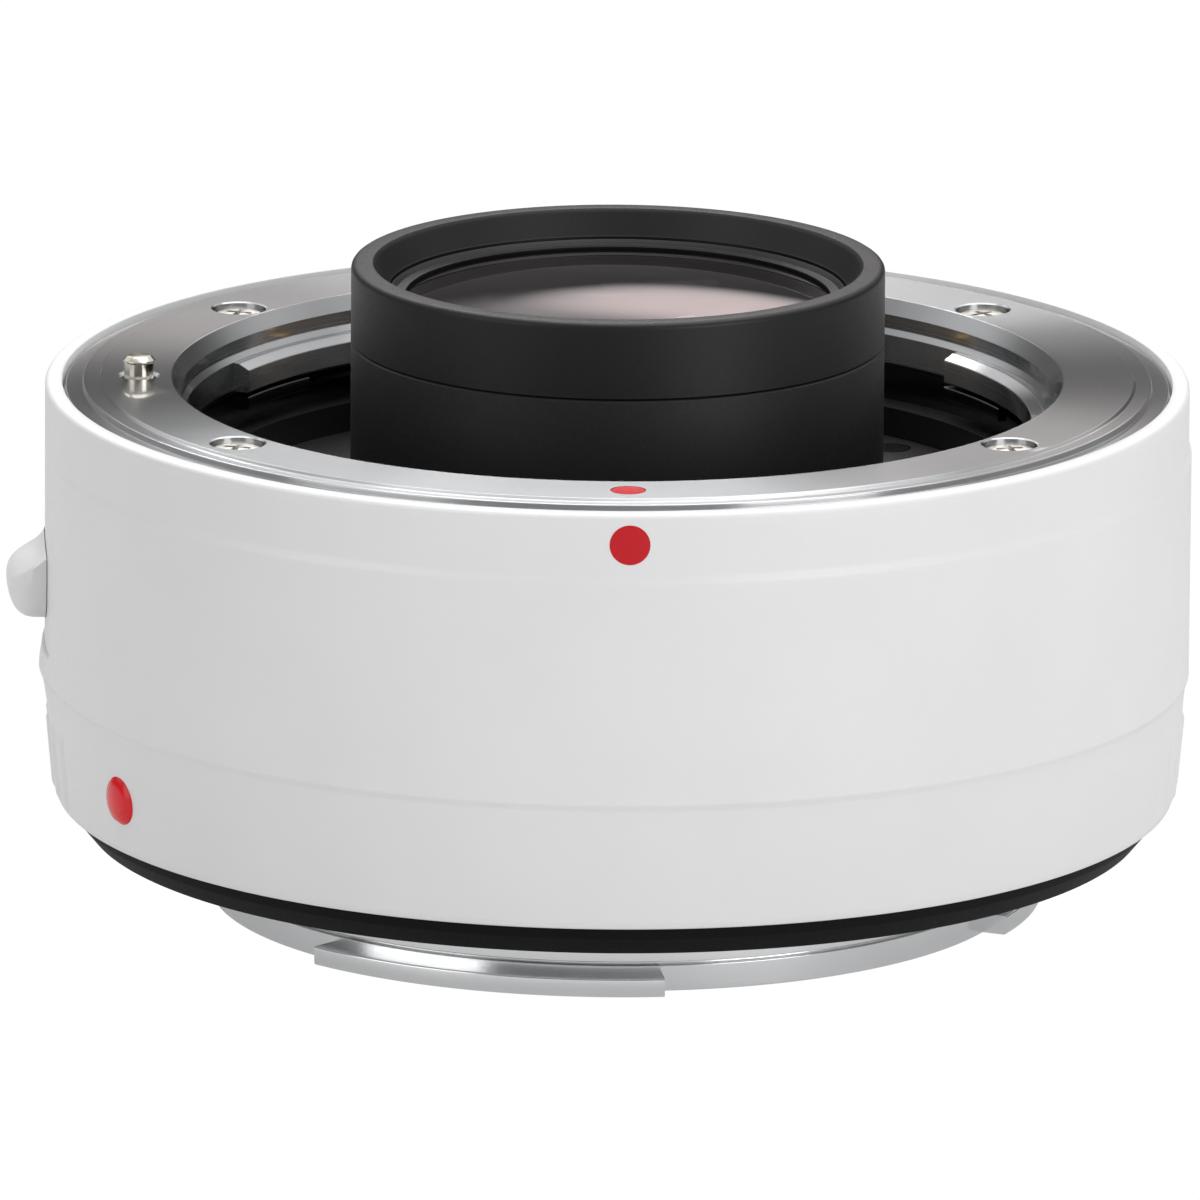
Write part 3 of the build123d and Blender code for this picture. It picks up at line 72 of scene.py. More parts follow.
def rounded(*corners, steps=4):
    """A closed outline through (radius, height, rounding) corners. Each rounding is the arc that touches both
    sides: point = centre + (first sin((1 - share) sweep) + last sin(share sweep)) / sin sweep."""
    places = np.array([corner[:2] for corner in corners], float)
    outline = []
    for number, corner in enumerate(corners):
        here = places[number]
        rounding = corner[2] if len(corner) > 2 else 0
        if not rounding:
            outline.append(here)
            continue
        back = places[number - 1] - here
        ahead = places[(number + 1) % len(corners)] - here
        back, ahead = back / np.linalg.norm(back), ahead / np.linalg.norm(ahead)
        opening = np.arccos(np.clip(back @ ahead, -1, 1))
        middle = (back + ahead) / np.linalg.norm(back + ahead)
        centre = here + middle * rounding / sin(opening / 2)
        first = here + back * rounding / np.tan(opening / 2) - centre
        last = here + ahead * rounding / np.tan(opening / 2) - centre
        sweep = pi - opening
        for share in np.linspace(0, 1, steps + 1):
            arc = first * sin((1 - share) * sweep) + last * sin(share * sweep)
            outline.append(centre + arc / sin(sweep))
    return np.array(outline)


def ring_place(radius, azimuth, height=0.0):
    """x = radius cos azimuth, y = radius sin azimuth, z = height."""
    return np.array((radius * cos(radians(azimuth)), radius * sin(radians(azimuth)), height))


def grid_points(x, y, z):
    """The points of a grid, row after row, from coordinates over rows and columns."""
    return np.stack(np.broadcast_arrays(x, y, z), axis=-1).reshape(-1, 3)


def grid_quads(rows, columns, rows_close, columns_close):
    """The quads of a grid: point (i, j) is vertex i * columns + j, and a closed direction wraps round."""
    i = np.arange(rows if rows_close else rows - 1)
    j = np.arange(columns if columns_close else columns - 1)
    i, j = np.meshgrid(i, j, indexing="ij")
    i_next, j_next = (i + 1) % rows, (j + 1) % columns
    corners = (i * columns + j, i * columns + j_next, i_next * columns + j_next, i_next * columns + j)
    return np.stack(corners, axis=-1).reshape(-1, 4)


def turned(outline, turns=FINE_TURN, centre=(0, 0)):
    """A closed outline turned about a vertical line: x = cx + r cos a, y = cy + r sin a, z = height."""
    a = np.linspace(0, 2 * pi, turns, endpoint=False)[None, :]
    r, z = outline[:, :1], outline[:, 1:]
    points = grid_points(centre[0] + r * np.cos(a), centre[1] + r * np.sin(a), z)
    return points, [grid_quads(len(outline), turns, True, True)]


def swept(outline, start, sweep, step=1.0):
    """A closed outline carried round the axis from start through sweep, closed by its own shape at both
    ends: x = r cos a, y = r sin a, z = height."""
    count = max(int(round(sweep / step)), 1) + 1
    a = np.radians(start + np.linspace(0, sweep, count))[None, :]
    r, z = outline[:, :1], outline[:, 1:]
    quads = grid_quads(len(outline), count, True, False)
    first_end = np.arange(len(outline))[None, :] * count
    return grid_points(r * np.cos(a), r * np.sin(a), z), [quads, first_end, first_end + count - 1]


def prism(outline, low, high, axes):
    """A flat closed outline pushed from low to high: point = origin + u * across + v * up + w * along."""
    origin, across, up, along = (np.array(axis, float) for axis in axes)
    flat = origin + outline[:, :1] * across + outline[:, 1:] * up
    points = np.concatenate([flat + low * along, flat + high * along])
    count = len(outline)
    low_end = np.arange(count)[None, :]
    return points, [grid_quads(2, count, False, True), low_end, low_end + count]


def block(low, high):
    """A box between two opposite corners."""
    low, high = np.array(low, float), np.array(high, float)
    shares = np.array([(0, 0), (1, 0), (1, 1), (0, 1)], float)
    outline = low[:2] + shares * (high - low)[:2]
    return prism(outline, low[2], high[2], ((0, 0, 0), (1, 0, 0), (0, 1, 0), (0, 0, 1)))


def placed(shape, axes, origin):
    """A shape in its own x, y, z turned to three new axes and moved to an origin."""
    points, faces = shape
    return points @ np.array(axes, float) + np.array(origin, float), faces


def tidy_mesh(mesh):
    """Merges doubles, drops faces of no area and turns all faces outwards."""
    work = bmesh.new()
    work.from_mesh(mesh)
    bmesh.ops.remove_doubles(work, verts=work.verts, dist=MERGE_GAP * MM)
    bmesh.ops.dissolve_degenerate(work, edges=work.edges, dist=MERGE_GAP * MM)
    bmesh.ops.recalc_face_normals(work, faces=work.faces)
    work.to_mesh(mesh)
    work.free()


def smooth(made, sharp_above):
    """Smooth shading that stays sharp at edges above an angle in degrees."""
    made.data.shade_smooth()
    made.data.set_sharp_from_angle(angle=radians(sharp_above))


def piece(name, *shapes, sharp_above=SHARP):
    """One object, in metres, of one or more closed shapes in millimetres, each (points, arrays of faces)."""
    points = np.concatenate([shape[0] for shape in shapes]) * MM
    faces, first = [], 0
    for corners, face_arrays in shapes:
        for face_array in face_arrays:
            faces += (face_array + first).tolist()
        first += len(corners)
    mesh = bpy.data.meshes.new(name)
    mesh.from_pydata(points.tolist(), [], faces)
    tidy_mesh(mesh)
    made = bpy.data.objects.new(name, mesh)
    bpy.context.scene.collection.objects.link(made)
    smooth(made, sharp_above)
    return made


def even_light(made):
    """Large flat faces keep their own normal where they meet narrow roundings."""
    settle = made.modifiers.new("even_light", "WEIGHTED_NORMAL")
    settle.keep_sharp = True
    settle.weight = 100


def cut(made, *shapes, sharp_above=SHARP):
    """Takes closed shapes out of a piece."""
    cutter = piece(made.name + "_cutter", *shapes)
    hole = made.modifiers.new("cut", "BOOLEAN")
    hole.operation = "DIFFERENCE"
    hole.solver = "EXACT"
    hole.object = cutter
    graph = bpy.context.evaluated_depsgraph_get()
    graph.update()
    mesh = bpy.data.meshes.new_from_object(made.evaluated_get(graph))
    made.modifiers.remove(hole)
    made.data = mesh
    bpy.data.objects.remove(cutter)
    smooth(made, sharp_above)


def joined(made, *shapes, sharp_above=SHARP):
    """Adds closed shapes to a piece that is already cut."""
    extra = piece(made.name + "_extra", *shapes)
    work = bmesh.new()
    work.from_mesh(made.data)
    work.from_mesh(extra.data)
    work.to_mesh(made.data)
    work.free()
    bpy.data.objects.remove(extra)
    smooth(made, sharp_above)


# Material helpers

# Size of the slow clouds in every finish, in millimetres.
CLOUD_SIZE = 8.0
# Noise seldom leaves this span, so it is what is stretched over a range of roughness.
NOISE_SPAN = {"From Min": 0.3, "From Max": 0.7}
# How much a lathe's circles move the roughness, and the width over which a bore's polish ends.
GROOVE_GLOSS = 0.07
BORE_EDGE = 0.1
QUARTER_TURN = 0.25
WHITE = "#FFFFFF"


def srgb(code):
    """An sRGB hex colour as linear red, green, blue and alpha."""
    channels = np.array([int(code[first : first + 2], 16) for first in (1, 3, 5)]) / 255
    linear = np.where(channels <= 0.04045, channels / 12.92, ((channels + 0.055) / 1.055) ** 2.4)
    return (*linear.tolist(), 1.0)


def add(tree, kind, links=None, inputs=None, **settings):
    """Adds a node with its settings, its own socket values and its links from (node, socket) pairs."""
    node = tree.nodes.new(kind)
    for key, value in settings.items():
        setattr(node, key, value)
    for key, value in (inputs or {}).items():
        node.inputs[key].default_value = value
    for key, (source, socket) in (links or {}).items():
        tree.links.new(source.outputs[socket], node.inputs[key])
    return node


def start_material(name, **sockets):
    """A material with one Principled BSDF. Gives back the material, its tree, the shader and coordinates."""
    material = bpy.data.materials.new(name)
    material.use_nodes = True
    tree = material.node_tree
    shader = tree.nodes["Principled BSDF"]
    for key, value in sockets.items():
        shader.inputs[key.replace("_", " ")].default_value = value
    return material, tree, shader, add(tree, "ShaderNodeTexCoord")


def clouded_tone(tree, shader, coordinates, dark, light):
    """Slow noise moves the base colour between two hex tones."""
    cloud = add(tree, "ShaderNodeTexNoise", {"Vector": (coordinates, "Object")},
                {"Scale": 1 / (CLOUD_SIZE * MM), "Detail": 3.0})
    tones = add(tree, "ShaderNodeMix", {"Factor": (cloud, "Fac")}, {"A": srgb(dark), "B": srgb(light)},
                data_type="RGBA")
    tree.links.new(tones.outputs["Result"], shader.inputs["Base Color"])


def grained_finish(name, dark, light, roughness, gloss_change, grain_mm, relief_mm, **sockets):
    """A finish with an even grain: slow noise moves the colour between two hex tones, and noise of the real
    grain size moves the roughness by gloss_change and lifts the surface by relief_mm."""
    material, tree, shader, coordinates = start_material(name, **sockets)
    clouded_tone(tree, shader, coordinates, dark, light)
    grain = add(tree, "ShaderNodeTexNoise", {"Vector": (coordinates, "Object")},
                {"Scale": 1 / (grain_mm * MM), "Detail": 4.0, "Roughness": 0.6})
    gloss = add(tree, "ShaderNodeMapRange", {"Value": (grain, "Fac")},
                {**NOISE_SPAN, "To Min": roughness - gloss_change, "To Max": roughness + gloss_change})
    tree.links.new(gloss.outputs["Result"], shader.inputs["Roughness"])
    bump = add(tree, "ShaderNodeBump", {"Height": (grain, "Fac")},
               {"Strength": 1.0, "Distance": relief_mm * MM})
    tree.links.new(bump.outputs["Normal"], shader.inputs["Normal"])
    return material


def lathe_finish(name, dark, light, roughness, groove_mm, relief_mm, anisotropy, axis_place=(0.0, 0.0),
                 bore_radius=0.0, bore_roughness=0.0, **sockets):
    """Metal finished on a lathe. Noise over (distance from the turning axis, height) gives the tool's
    circles. The tangent is the cross product of axis and radius, turned a quarter, so the gloss stretches
    across the circles. Within bore_radius of the axis the roughness is bore_roughness, and BORE_EDGE further
    out it is the face's."""
    material, tree, shader, coordinates = start_material(
        name, Metallic=1.0, Anisotropic=anisotropy, Anisotropic_Rotation=QUARTER_TURN, **sockets)
    clouded_tone(tree, shader, coordinates, dark, light)
    moved = add(tree, "ShaderNodeMapping", {"Vector": (coordinates, "Object")},
                {"Location": (-axis_place[0] * MM, -axis_place[1] * MM, 0)})
    place = add(tree, "ShaderNodeSeparateXYZ", {"Vector": (moved, "Vector")})
    flat = add(tree, "ShaderNodeCombineXYZ", {"X": (place, "X"), "Y": (place, "Y")})
    radius = add(tree, "ShaderNodeVectorMath", {0: (flat, "Vector")}, operation="LENGTH")
    profile = add(tree, "ShaderNodeCombineXYZ", {"X": (radius, "Value"), "Y": (place, "Z")})
    grooves = add(tree, "ShaderNodeTexNoise", {"Vector": (profile, "Vector")},
                  {"Scale": 1 / (groove_mm * MM), "Detail": 3.0, "Roughness": 0.7})
    groove_gloss = add(tree, "ShaderNodeMapRange", {"Value": (grooves, "Fac")},
                       {**NOISE_SPAN, "To Min": 1 - GROOVE_GLOSS, "To Max": 1 + GROOVE_GLOSS})
    part_gloss = add(tree, "ShaderNodeMapRange", {"Value": (radius, "Value")},
                     {"From Min": bore_radius * MM, "From Max": (bore_radius + BORE_EDGE) * MM,
                      "To Min": bore_roughness, "To Max": roughness})
    gloss = add(tree, "ShaderNodeMath", {0: (groove_gloss, "Result"), 1: (part_gloss, "Result")},
                operation="MULTIPLY")
    tree.links.new(gloss.outputs["Value"], shader.inputs["Roughness"])
    axis = add(tree, "ShaderNodeCombineXYZ", inputs={"Z": 1.0})
    along = add(tree, "ShaderNodeVectorMath", {0: (axis, "Vector"), 1: (flat, "Vector")},
                operation="CROSS_PRODUCT")
    tangent = add(tree, "ShaderNodeVectorMath", {0: (along, "Vector")}, operation="NORMALIZE")
    tree.links.new(tangent.outputs["Vector"], shader.inputs["Tangent"])
    bump = add(tree, "ShaderNodeBump", {"Height": (grooves, "Fac")},
               {"Strength": 1.0, "Distance": relief_mm * MM})
    tree.links.new(bump.outputs["Normal"], shader.inputs["Normal"])
    return material


def coated_element(name, tint, reflection):
    """Multi-coated optical glass: it lets the dark barrel show through, darkened by its base tint, and
    reflects with the tint of its coating. A dark base tint is painted shade of the unlit inside. Slow noise
    moves its gloss a little, as a coating's thickness does."""
    material, tree, shader, coordinates = start_material(
        name, Base_Color=srgb(tint), IOR=1.52, Transmission_Weight=0.9, Specular_Tint=srgb(reflection))
    cloud = add(tree, "ShaderNodeTexNoise", {"Vector": (coordinates, "Object")},
                {"Scale": 1 / (CLOUD_SIZE * MM), "Detail": 2.0})
    gloss = add(tree, "ShaderNodeMapRange", {"Value": (cloud, "Fac")}, {"To Min": 0.01, "To Max": 0.03})
    tree.links.new(gloss.outputs["Result"], shader.inputs["Roughness"])
    return material


# Materials

# Baked enamel over the cast shell: an even cool white, satin, with the faint orange peel of sprayed paint.
white_enamel = grained_finish(
    "satin_white_enamel", "#C9C9CA", "#CFCFD0", roughness=0.42, gloss_change=0.05, grain_mm=0.45,
    relief_mm=0.012, Specular_IOR_Level=0.4)
# Stainless steel faced on a lathe: circles finer than the eye parts, so light gathers into rays from the
# axis. The throat's wall is a little smoother. A thin lacquer over both gives the sharp dim image of the pin.
turned_stainless = lathe_finish(
    "turned_stainless_steel", "#98999B", "#AAABAC", roughness=0.3, groove_mm=0.12, relief_mm=0.0003,
    anisotropy=1.0, bore_radius=27.95, bore_roughness=0.26, Coat_Weight=0.9, Coat_Roughness=0.04)
# Chromed brass: brighter and smoother than the steel, with only a trace of the tool under the plating.
chromed_brass = lathe_finish(
    "chromed_brass", "#E4E5E6", "#EEEFF0", roughness=0.19, groove_mm=0.2, relief_mm=0.0008, anisotropy=0.35)
# Stainless pin steel: warm, smooth and bright, with fine circles about the pin's own line.
turned_pin = lathe_finish(
    "turned_pin_steel", "#B6B2A8", "#CFCBC1", roughness=0.18, groove_mm=0.08, relief_mm=0.0012,
    anisotropy=0.5, axis_place=(-LOCK_PLACE, 0.0))
# Black anodised aluminium, bead blasted first: a dull charcoal with a fine sandy grain.
anodised_black = grained_finish(
    "black_anodised_aluminium", "#100F10", "#141314", roughness=0.5, gloss_change=0.08, grain_mm=0.12,
    relief_mm=0.008, Specular_IOR_Level=0.35)
# The same on the cap and its retainer, with a finer blast: a little smoother. Its tone is a little darker
# too, and that is painted shade of the cap's grooved inside.
anodised_cap_painted_shade = grained_finish(
    "black_anodised_cap_ring", "#0C0B0C", "#100F10", roughness=0.46, gloss_change=0.08, grain_mm=0.1,
    relief_mm=0.006, Specular_IOR_Level=0.28)
# Black polycarbonate moulded against a polished tool: glossy, with slight flow marks.
moulded_black = grained_finish(
    "moulded_black_polycarbonate", "#0B0B0C", "#101012", roughness=0.22, gloss_change=0.05, grain_mm=0.8,
    relief_mm=0.004)
# Nitrile rubber, moulded: deep dull black with hardly any gloss.
seal_rubber = grained_finish(
    "moulded_nitrile_rubber", "#040404", "#070707", roughness=0.6, gloss_change=0.06, grain_mm=0.18,
    relief_mm=0.01, Specular_IOR_Level=0.12)
# Die-cast alloy under black anodising: slightly rough, as it comes from the die.
cast_alloy = grained_finish(
    "black_cast_alloy", "#131314", "#1A1A1B", roughness=0.42, gloss_change=0.08, grain_mm=0.35,
    relief_mm=0.01)
# Zinc-plated screw steel: warm pale metal with a soft gloss.
plated_steel = grained_finish(
    "zinc_plated_steel", "#C4C2BC", "#D4D2CC", roughness=0.34, gloss_change=0.06, grain_mm=0.15,
    relief_mm=0.003, Metallic=1.0)
# Spring steel, blackened: dark, with a soft metal gloss.
spring_steel = grained_finish(
    "blackened_spring_steel", "#3A3A3C", "#4A4A4D", roughness=0.32, gloss_change=0.06, grain_mm=0.2,
    relief_mm=0.003, Metallic=1.0)
# Gold over nickel, as electroplated contacts have: warm and bright.
gold_plate = grained_finish(
    "gold_plated_contact", "#C79A45", "#E0B75E", roughness=0.2, gloss_change=0.05, grain_mm=0.1,
    relief_mm=0.002, Metallic=1.0)
# Green solder resist over a glass-fibre laminate: deep green with a satin gloss.
solder_resist = grained_finish(
    "solder_resist_laminate", "#0C2E18", "#12401F", roughness=0.35, gloss_change=0.05, grain_mm=0.3,
    relief_mm=0.004)
# Polyimide film: amber and fairly glossy.
polyimide = grained_finish(
    "polyimide_film", "#8A4A12", "#A86420", roughness=0.3, gloss_change=0.05, grain_mm=0.5, relief_mm=0.003)
# Glossy red lacquer in the moulded index bead.
red_lacquer = grained_finish(
    "red_lacquer", "#C00E18", "#CC121C", roughness=0.2, gloss_change=0.04, grain_mm=0.6, relief_mm=0.004,
    Specular_IOR_Level=0.35)
# Printed ink of the two dots: a deeper red without the lacquer's gloss.
red_ink = grained_finish(
    "printed_red_ink", "#A80A14", "#B4121E", roughness=0.45, gloss_change=0.05, grain_mm=0.3,
    relief_mm=0.004, Specular_IOR_Level=0.25)
# Coated glass: the front element has a pinkish reflection over a dark depth, and its dark base colour is
# painted shade of the unlit inside seen through it; the others have a violet reflection.
front_glass_with_painted_shade = coated_element("coated_front_glass_painted_shade", "#3A3438", "#F2C0C6")
coated_glass = coated_element("coated_optical_glass", "#8C8C94", "#B8A0D8")


def finish_piece(made, material, node_names, body="converter"):
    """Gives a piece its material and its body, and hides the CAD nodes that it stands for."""
    made.data.materials.clear()
    made.data.materials.append(material)
    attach(made, body)
    if node_names:
        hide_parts(*node_names)


# Outer shell

SHELL_RADIUS = 36.0
BAND_RADIUS = 35.83
RIM_TOP = 27.0
RIM_ROUNDING = 0.35
FOOT_RADIUS = 35.1
FOOT_BOTTOM = 0.6
FOOT_ROUNDING = 0.2
# The outer wall as (height, radius): cone, lower step, plain wall, upper step, band.
WALL_KNOTS = (
    (0.85, FOOT_RADIUS + 0.05), (6.3, 35.65), (8.4, 35.82), (8.6, SHELL_RADIUS), (22.6, SHELL_RADIUS),
    (22.7, 35.985), (23.1, 35.845), (23.2, BAND_RADIUS), (RIM_TOP, BAND_RADIUS))
# The inside as (radius, height): mouth for the lens ring, its ledge, bore, and the lip at the foot.
INNER_WALL = (
    (34.8, RIM_TOP), (34.75, RIM_TOP - 0.05), (34.75, 25.7), (34.0, 25.7), (34.0, 14.0), (34.0, 1.9),
    (33.1, 1.9), (33.1, FOOT_BOTTOM + 0.1), (33.2, FOOT_BOTTOM))
# Rows up the wall as (from, to, count), close together at recess, ribs and steps.
ROW_RUNS = (
    (0.95, 1.6, 6), (1.9, 5.3, 9), (5.4, 6.4, 9), (6.6, 8.2, 11), (8.4, 9.2, 5), (9.3, 11.8, 26),
    (12.4, 22.2, 10), (22.4, 23.4, 11), (24.2, 26.65, 5))
# Columns round the wall as (from, to, step), close together at the lever's side and across from it.
COLUMN_RUNS = ((-15, 15, 0.25), (15, 165, 1.25), (165, 195, 0.17), (195, 345, 1.25))

RECESS_RADIUS = 35.82
RECESS_HALF_ANGLE = 9.6
RECESS_LOW = 10.2
RECESS_CORNER = 1.2
# The recess's wall slopes between these distances from its outline.
RECESS_EDGE = (-0.1, 0.05)
REST_HALF_ANGLE = 10.0
REST_LOW = 5.4
REST_PEAK = 8.7
REST_SWELL = 0.18
RIB_STEP = 4.9
RIB_COUNT = 6
RIB_WIDTH = 1.2
RIB_SWELL = 0.19
RIB_LOW = 0.95
RIB_HIGH = 6.0
# A rib's end begins this far outside its limit and is full this far inside it.
RIB_END_OUTSIDE = 0.1
RIB_END_INSIDE = 0.5
# Two opposite corners of the slot for the lever's stem.
LEVER_SLOT = ((-37.5, -2.1, 12.0), (-33.0, 2.1, 15.1))


def step_up(value, low, high):
    """0 below low, 1 above high, and 3t^2 - 2t^3 between."""
    t = np.clip((value - low) / (high - low), 0, 1)
    return t * t * (3 - 2 * t)


def turn_from(azimuth, side):
    """The angle from a side to an azimuth, between -180 and 180."""
    return (azimuth - side + 180) % 360 - 180


def shell_swell(azimuth, height):
    """What stands proud of the plain wall. Grip ribs, in two groups: RIB_SWELL (1 - off^2), where off is the
    distance from the nearest rib's line over its half width. Thumb rest: a smooth rise and fall in height
    times REST_SWELL cos(90 turn / REST_HALF_ANGLE)^1.2."""
    swell = np.zeros_like(height + azimuth)
    ends = step_up(height, RIB_LOW - RIB_END_OUTSIDE, RIB_LOW + RIB_END_INSIDE)
    ends = ends * (1 - step_up(height, RIB_HIGH - RIB_END_INSIDE, RIB_HIGH + RIB_END_OUTSIDE))
    for side in (0.0, LEVER_SIDE):
        turn = turn_from(azimuth, side)
        nearest = np.clip(np.round(turn / RIB_STEP - 0.5), -RIB_COUNT // 2, RIB_COUNT // 2 - 1) + 0.5
        off = np.radians(turn - nearest * RIB_STEP) * SHELL_RADIUS * 2 / RIB_WIDTH
        swell = swell + RIB_SWELL * np.clip(1 - off**2, 0, 1) * ends
    turn = turn_from(azimuth, LEVER_SIDE)
    arch = np.where(abs(turn) < REST_HALF_ANGLE, np.cos(np.radians(90 * turn / REST_HALF_ANGLE)), 0) ** 1.2
    rise = step_up(height, REST_LOW, REST_PEAK) * (1 - step_up(height, REST_PEAK, RECESS_LOW + 0.1))
    return swell + REST_SWELL * arch * rise


def shell_wall(azimuth, outline):
    """Radius over azimuth and outline row: the outline's radius plus the swell on outer rows, then cut back
    to RECESS_RADIUS inside the lever's recess, which has two round lower corners and runs out at the top. It
    lies where hypot(max(across, 0), max(along, 0)) + min(max(across, along), 0) is below RECESS_CORNER."""
    radius, height, outer = (outline[:, column : column + 1] for column in range(3))
    wall = radius + outer * shell_swell(azimuth, height)
    past_side = np.radians(abs(turn_from(azimuth, LEVER_SIDE)) - RECESS_HALF_ANGLE) * SHELL_RADIUS
    across = past_side + RECESS_CORNER
    along = RECESS_LOW - height + RECESS_CORNER
    outside = np.hypot(np.maximum(across, 0), np.maximum(along, 0))
    outside = outside + np.minimum(np.maximum(across, along), 0)
    inside = 1 - step_up(outside - RECESS_CORNER, *RECESS_EDGE)
    return wall + outer * inside * np.minimum(RECESS_RADIUS - wall, 0)


def quarter_round(radius, height, rounding, up):
    """A quarter circle inside the outer corner (radius, height), from below upwards. up is 1 for an upper
    corner and -1 for a lower one: r = radius - rounding (1 - cos t), z = height - up rounding (1 - sin t)."""
    t = np.radians(np.linspace(0, 90, QUARTER_POINTS))
    rows = np.stack([radius - rounding * (1 - np.cos(t)), height - up * rounding * (1 - np.sin(t))], axis=1)
    return rows[::up]


def shell_outline():
    """Rows of (radius, height, 1 on the outer wall)."""
    heights = np.unique(np.round(np.concatenate([np.linspace(*run) for run in ROW_RUNS]), 4))
    foot = quarter_round(FOOT_RADIUS, FOOT_BOTTOM, FOOT_ROUNDING, -1)
    wall = np.stack([np.interp(heights, *zip(*WALL_KNOTS)), heights], axis=1)
    rim = quarter_round(BAND_RADIUS, RIM_TOP, RIM_ROUNDING, 1)
    rows = np.concatenate([foot, wall, rim[1:], np.array(INNER_WALL)])
    outer = np.zeros(len(rows))
    outer[len(foot) : len(foot) + len(wall)] = 1
    return np.column_stack([rows, outer])


def make_shell():
    """x = wall cos a, y = wall sin a over azimuth and outline row."""
    azimuths = np.concatenate([np.arange(*run) for run in COLUMN_RUNS])
    outline = shell_outline()
    wall = shell_wall(azimuths[None, :], outline)
    a = np.radians(azimuths)[None, :]
    points = grid_points(wall * np.cos(a), wall * np.sin(a), outline[:, 1:2])
    quads = grid_quads(len(outline), len(azimuths), True, True)
    made = piece("shell_casting", (points, [quads]), sharp_above=SHARP_PAINTED)
    cut(made, block(*LEVER_SLOT), sharp_above=SHARP_PAINTED)
    return made


finish_piece(make_shell(), white_enamel, ["outer_shell"])

# Screws and their wells

# Head, rounded at its edge, and plain shank as (radius, depth, rounding).
SCREW_PROFILE = (
    (0, 0), (0.88, 0.02), (1.5, 0.12, 0.1), (1.6, 0.22), (1.6, 0.6), (0.85, 0.6), (0.85, 3.5), (0, 3.5))
# The cross recess: a blade's reach, half width and depth, its reach at the bottom, and what stands above.
CROSS_REACH = 1.0
CROSS_HALF_WIDTH = 0.2
CROSS_DEPTH = 0.95
CROSS_BOTTOM_REACH = 0.2
CROSS_ABOVE = 0.2
# A well's cutter begins this far above the face.
WELL_ABOVE = 0.4


def machine_screw(place, top, up):
    """A low head on its shank, turned about the screw's own line. up is 1 for heads that face the lens."""
    corners = [(radius, top - up * depth, *rounding) for radius, depth, *rounding in SCREW_PROFILE]
    return turned(rounded(*corners), SMALL_TURN, place[:2])


def cross_blades(place, top, up, turn):
    """Two blades at right angles that narrow downwards, to cut a cross recess."""
    outline = np.array([(-CROSS_REACH, CROSS_ABOVE), (CROSS_REACH, CROSS_ABOVE),
                        (CROSS_BOTTOM_REACH, -CROSS_DEPTH), (-CROSS_BOTTOM_REACH, -CROSS_DEPTH)])
    blades = []
    for quarter in (0, 90):
        a = radians(turn + quarter)
        axes = ((place[0], place[1], top), (cos(a), sin(a), 0), (0, 0, up), (-sin(a), cos(a), 0))
        blades.append(prism(outline, -CROSS_HALF_WIDTH, CROSS_HALF_WIDTH, axes))
    return blades


def turned_at(radius, azimuths, outline, turns=SMALL_TURN):
    """One outline turned about each of several upright lines round the axis."""
    return [turned(outline, turns, ring_place(radius, azimuth)[:2]) for azimuth in azimuths]


# Lens-side bayonet

FLANGE = 27.2
FLANGE_UNDERSIDE = 25.72
FLANGE_STEP = FLANGE - 0.15
FLANGE_EDGE = FLANGE - 0.55
FLANGE_RADIUS = 34.53
MOUTH_RADIUS = 27.9
THROAT_RADIUS = 27.3
SKIRT_RADIUS = 27.0
CLAW_RADIUS = 25.9
CLAW_UNDERSIDE = 23.2
CLAW_STARTS = (88.5, 222.0, 337.0)
CLAW_SWEEPS = (64.0, 56.0, 58.7)
FLANGE_SCREWS = (38.0, 142.0, 217.0, 323.0)
FLANGE_SCREW_PLACE = 29.9
DOT_PLACE = 30.2
DOT_AZIMUTH = 270.0
WELL_TOP = FLANGE + WELL_ABOVE

# Face, bevel and step, thin edge, then the skirt that carries the claws, and the throat up to its bevelled
# mouth.
flange_outline = rounded(
    (MOUTH_RADIUS, FLANGE, 0.06), (32.3, FLANGE, 0.06), (32.45, FLANGE_STEP), (33.45, FLANGE_STEP, 0.12),
    (33.45, FLANGE_EDGE, 0.08), (FLANGE_RADIUS, FLANGE_EDGE, 0.08), (FLANGE_RADIUS, FLANGE_UNDERSIDE),
    (MOUTH_RADIUS, FLANGE_UNDERSIDE), (MOUTH_RADIUS, CLAW_UNDERSIDE), (SKIRT_RADIUS, CLAW_UNDERSIDE, 0.08),
    (SKIRT_RADIUS, 25.05, 0.08), (THROAT_RADIUS, 25.4, 0.06), (THROAT_RADIUS, 26.28, 0.06))
claw_outline = rounded(
    (CLAW_RADIUS, CLAW_UNDERSIDE, 0.1), (CLAW_RADIUS, 24.65, 0.12), (26.6, 25.0, 0.2), (27.15, 25.05),
    (27.15, CLAW_UNDERSIDE))
screw_well = rounded(
    (0, WELL_TOP), (2.15, WELL_TOP), (1.8, FLANGE), (1.7, FLANGE - 0.08), (1.7, 26.35), (0, 26.35))
pin_well = rounded(
    (0, WELL_TOP), (1.75, WELL_TOP), (1.35, FLANGE), (1.15, FLANGE - 0.2), (1.15, 25.5), (0, 25.5))
dot_well = rounded((0, WELL_TOP), (1.1, WELL_TOP), (1.1, 27.05), (0, 27.05))
flange = piece("lens_flange", turned(flange_outline))
cut(flange, *turned_at(FLANGE_SCREW_PLACE, FLANGE_SCREWS, screw_well),
    *turned_at(LOCK_PLACE, [LEVER_SIDE], pin_well, DOT_TURN),
    *turned_at(DOT_PLACE, [DOT_AZIMUTH], dot_well, DOT_TURN))
joined(flange, *[swept(claw_outline, start, sweep) for start, sweep in zip(CLAW_STARTS, CLAW_SWEEPS)])
even_light(flange)
finish_piece(flange, turned_stainless, ["front_mount_ring"])

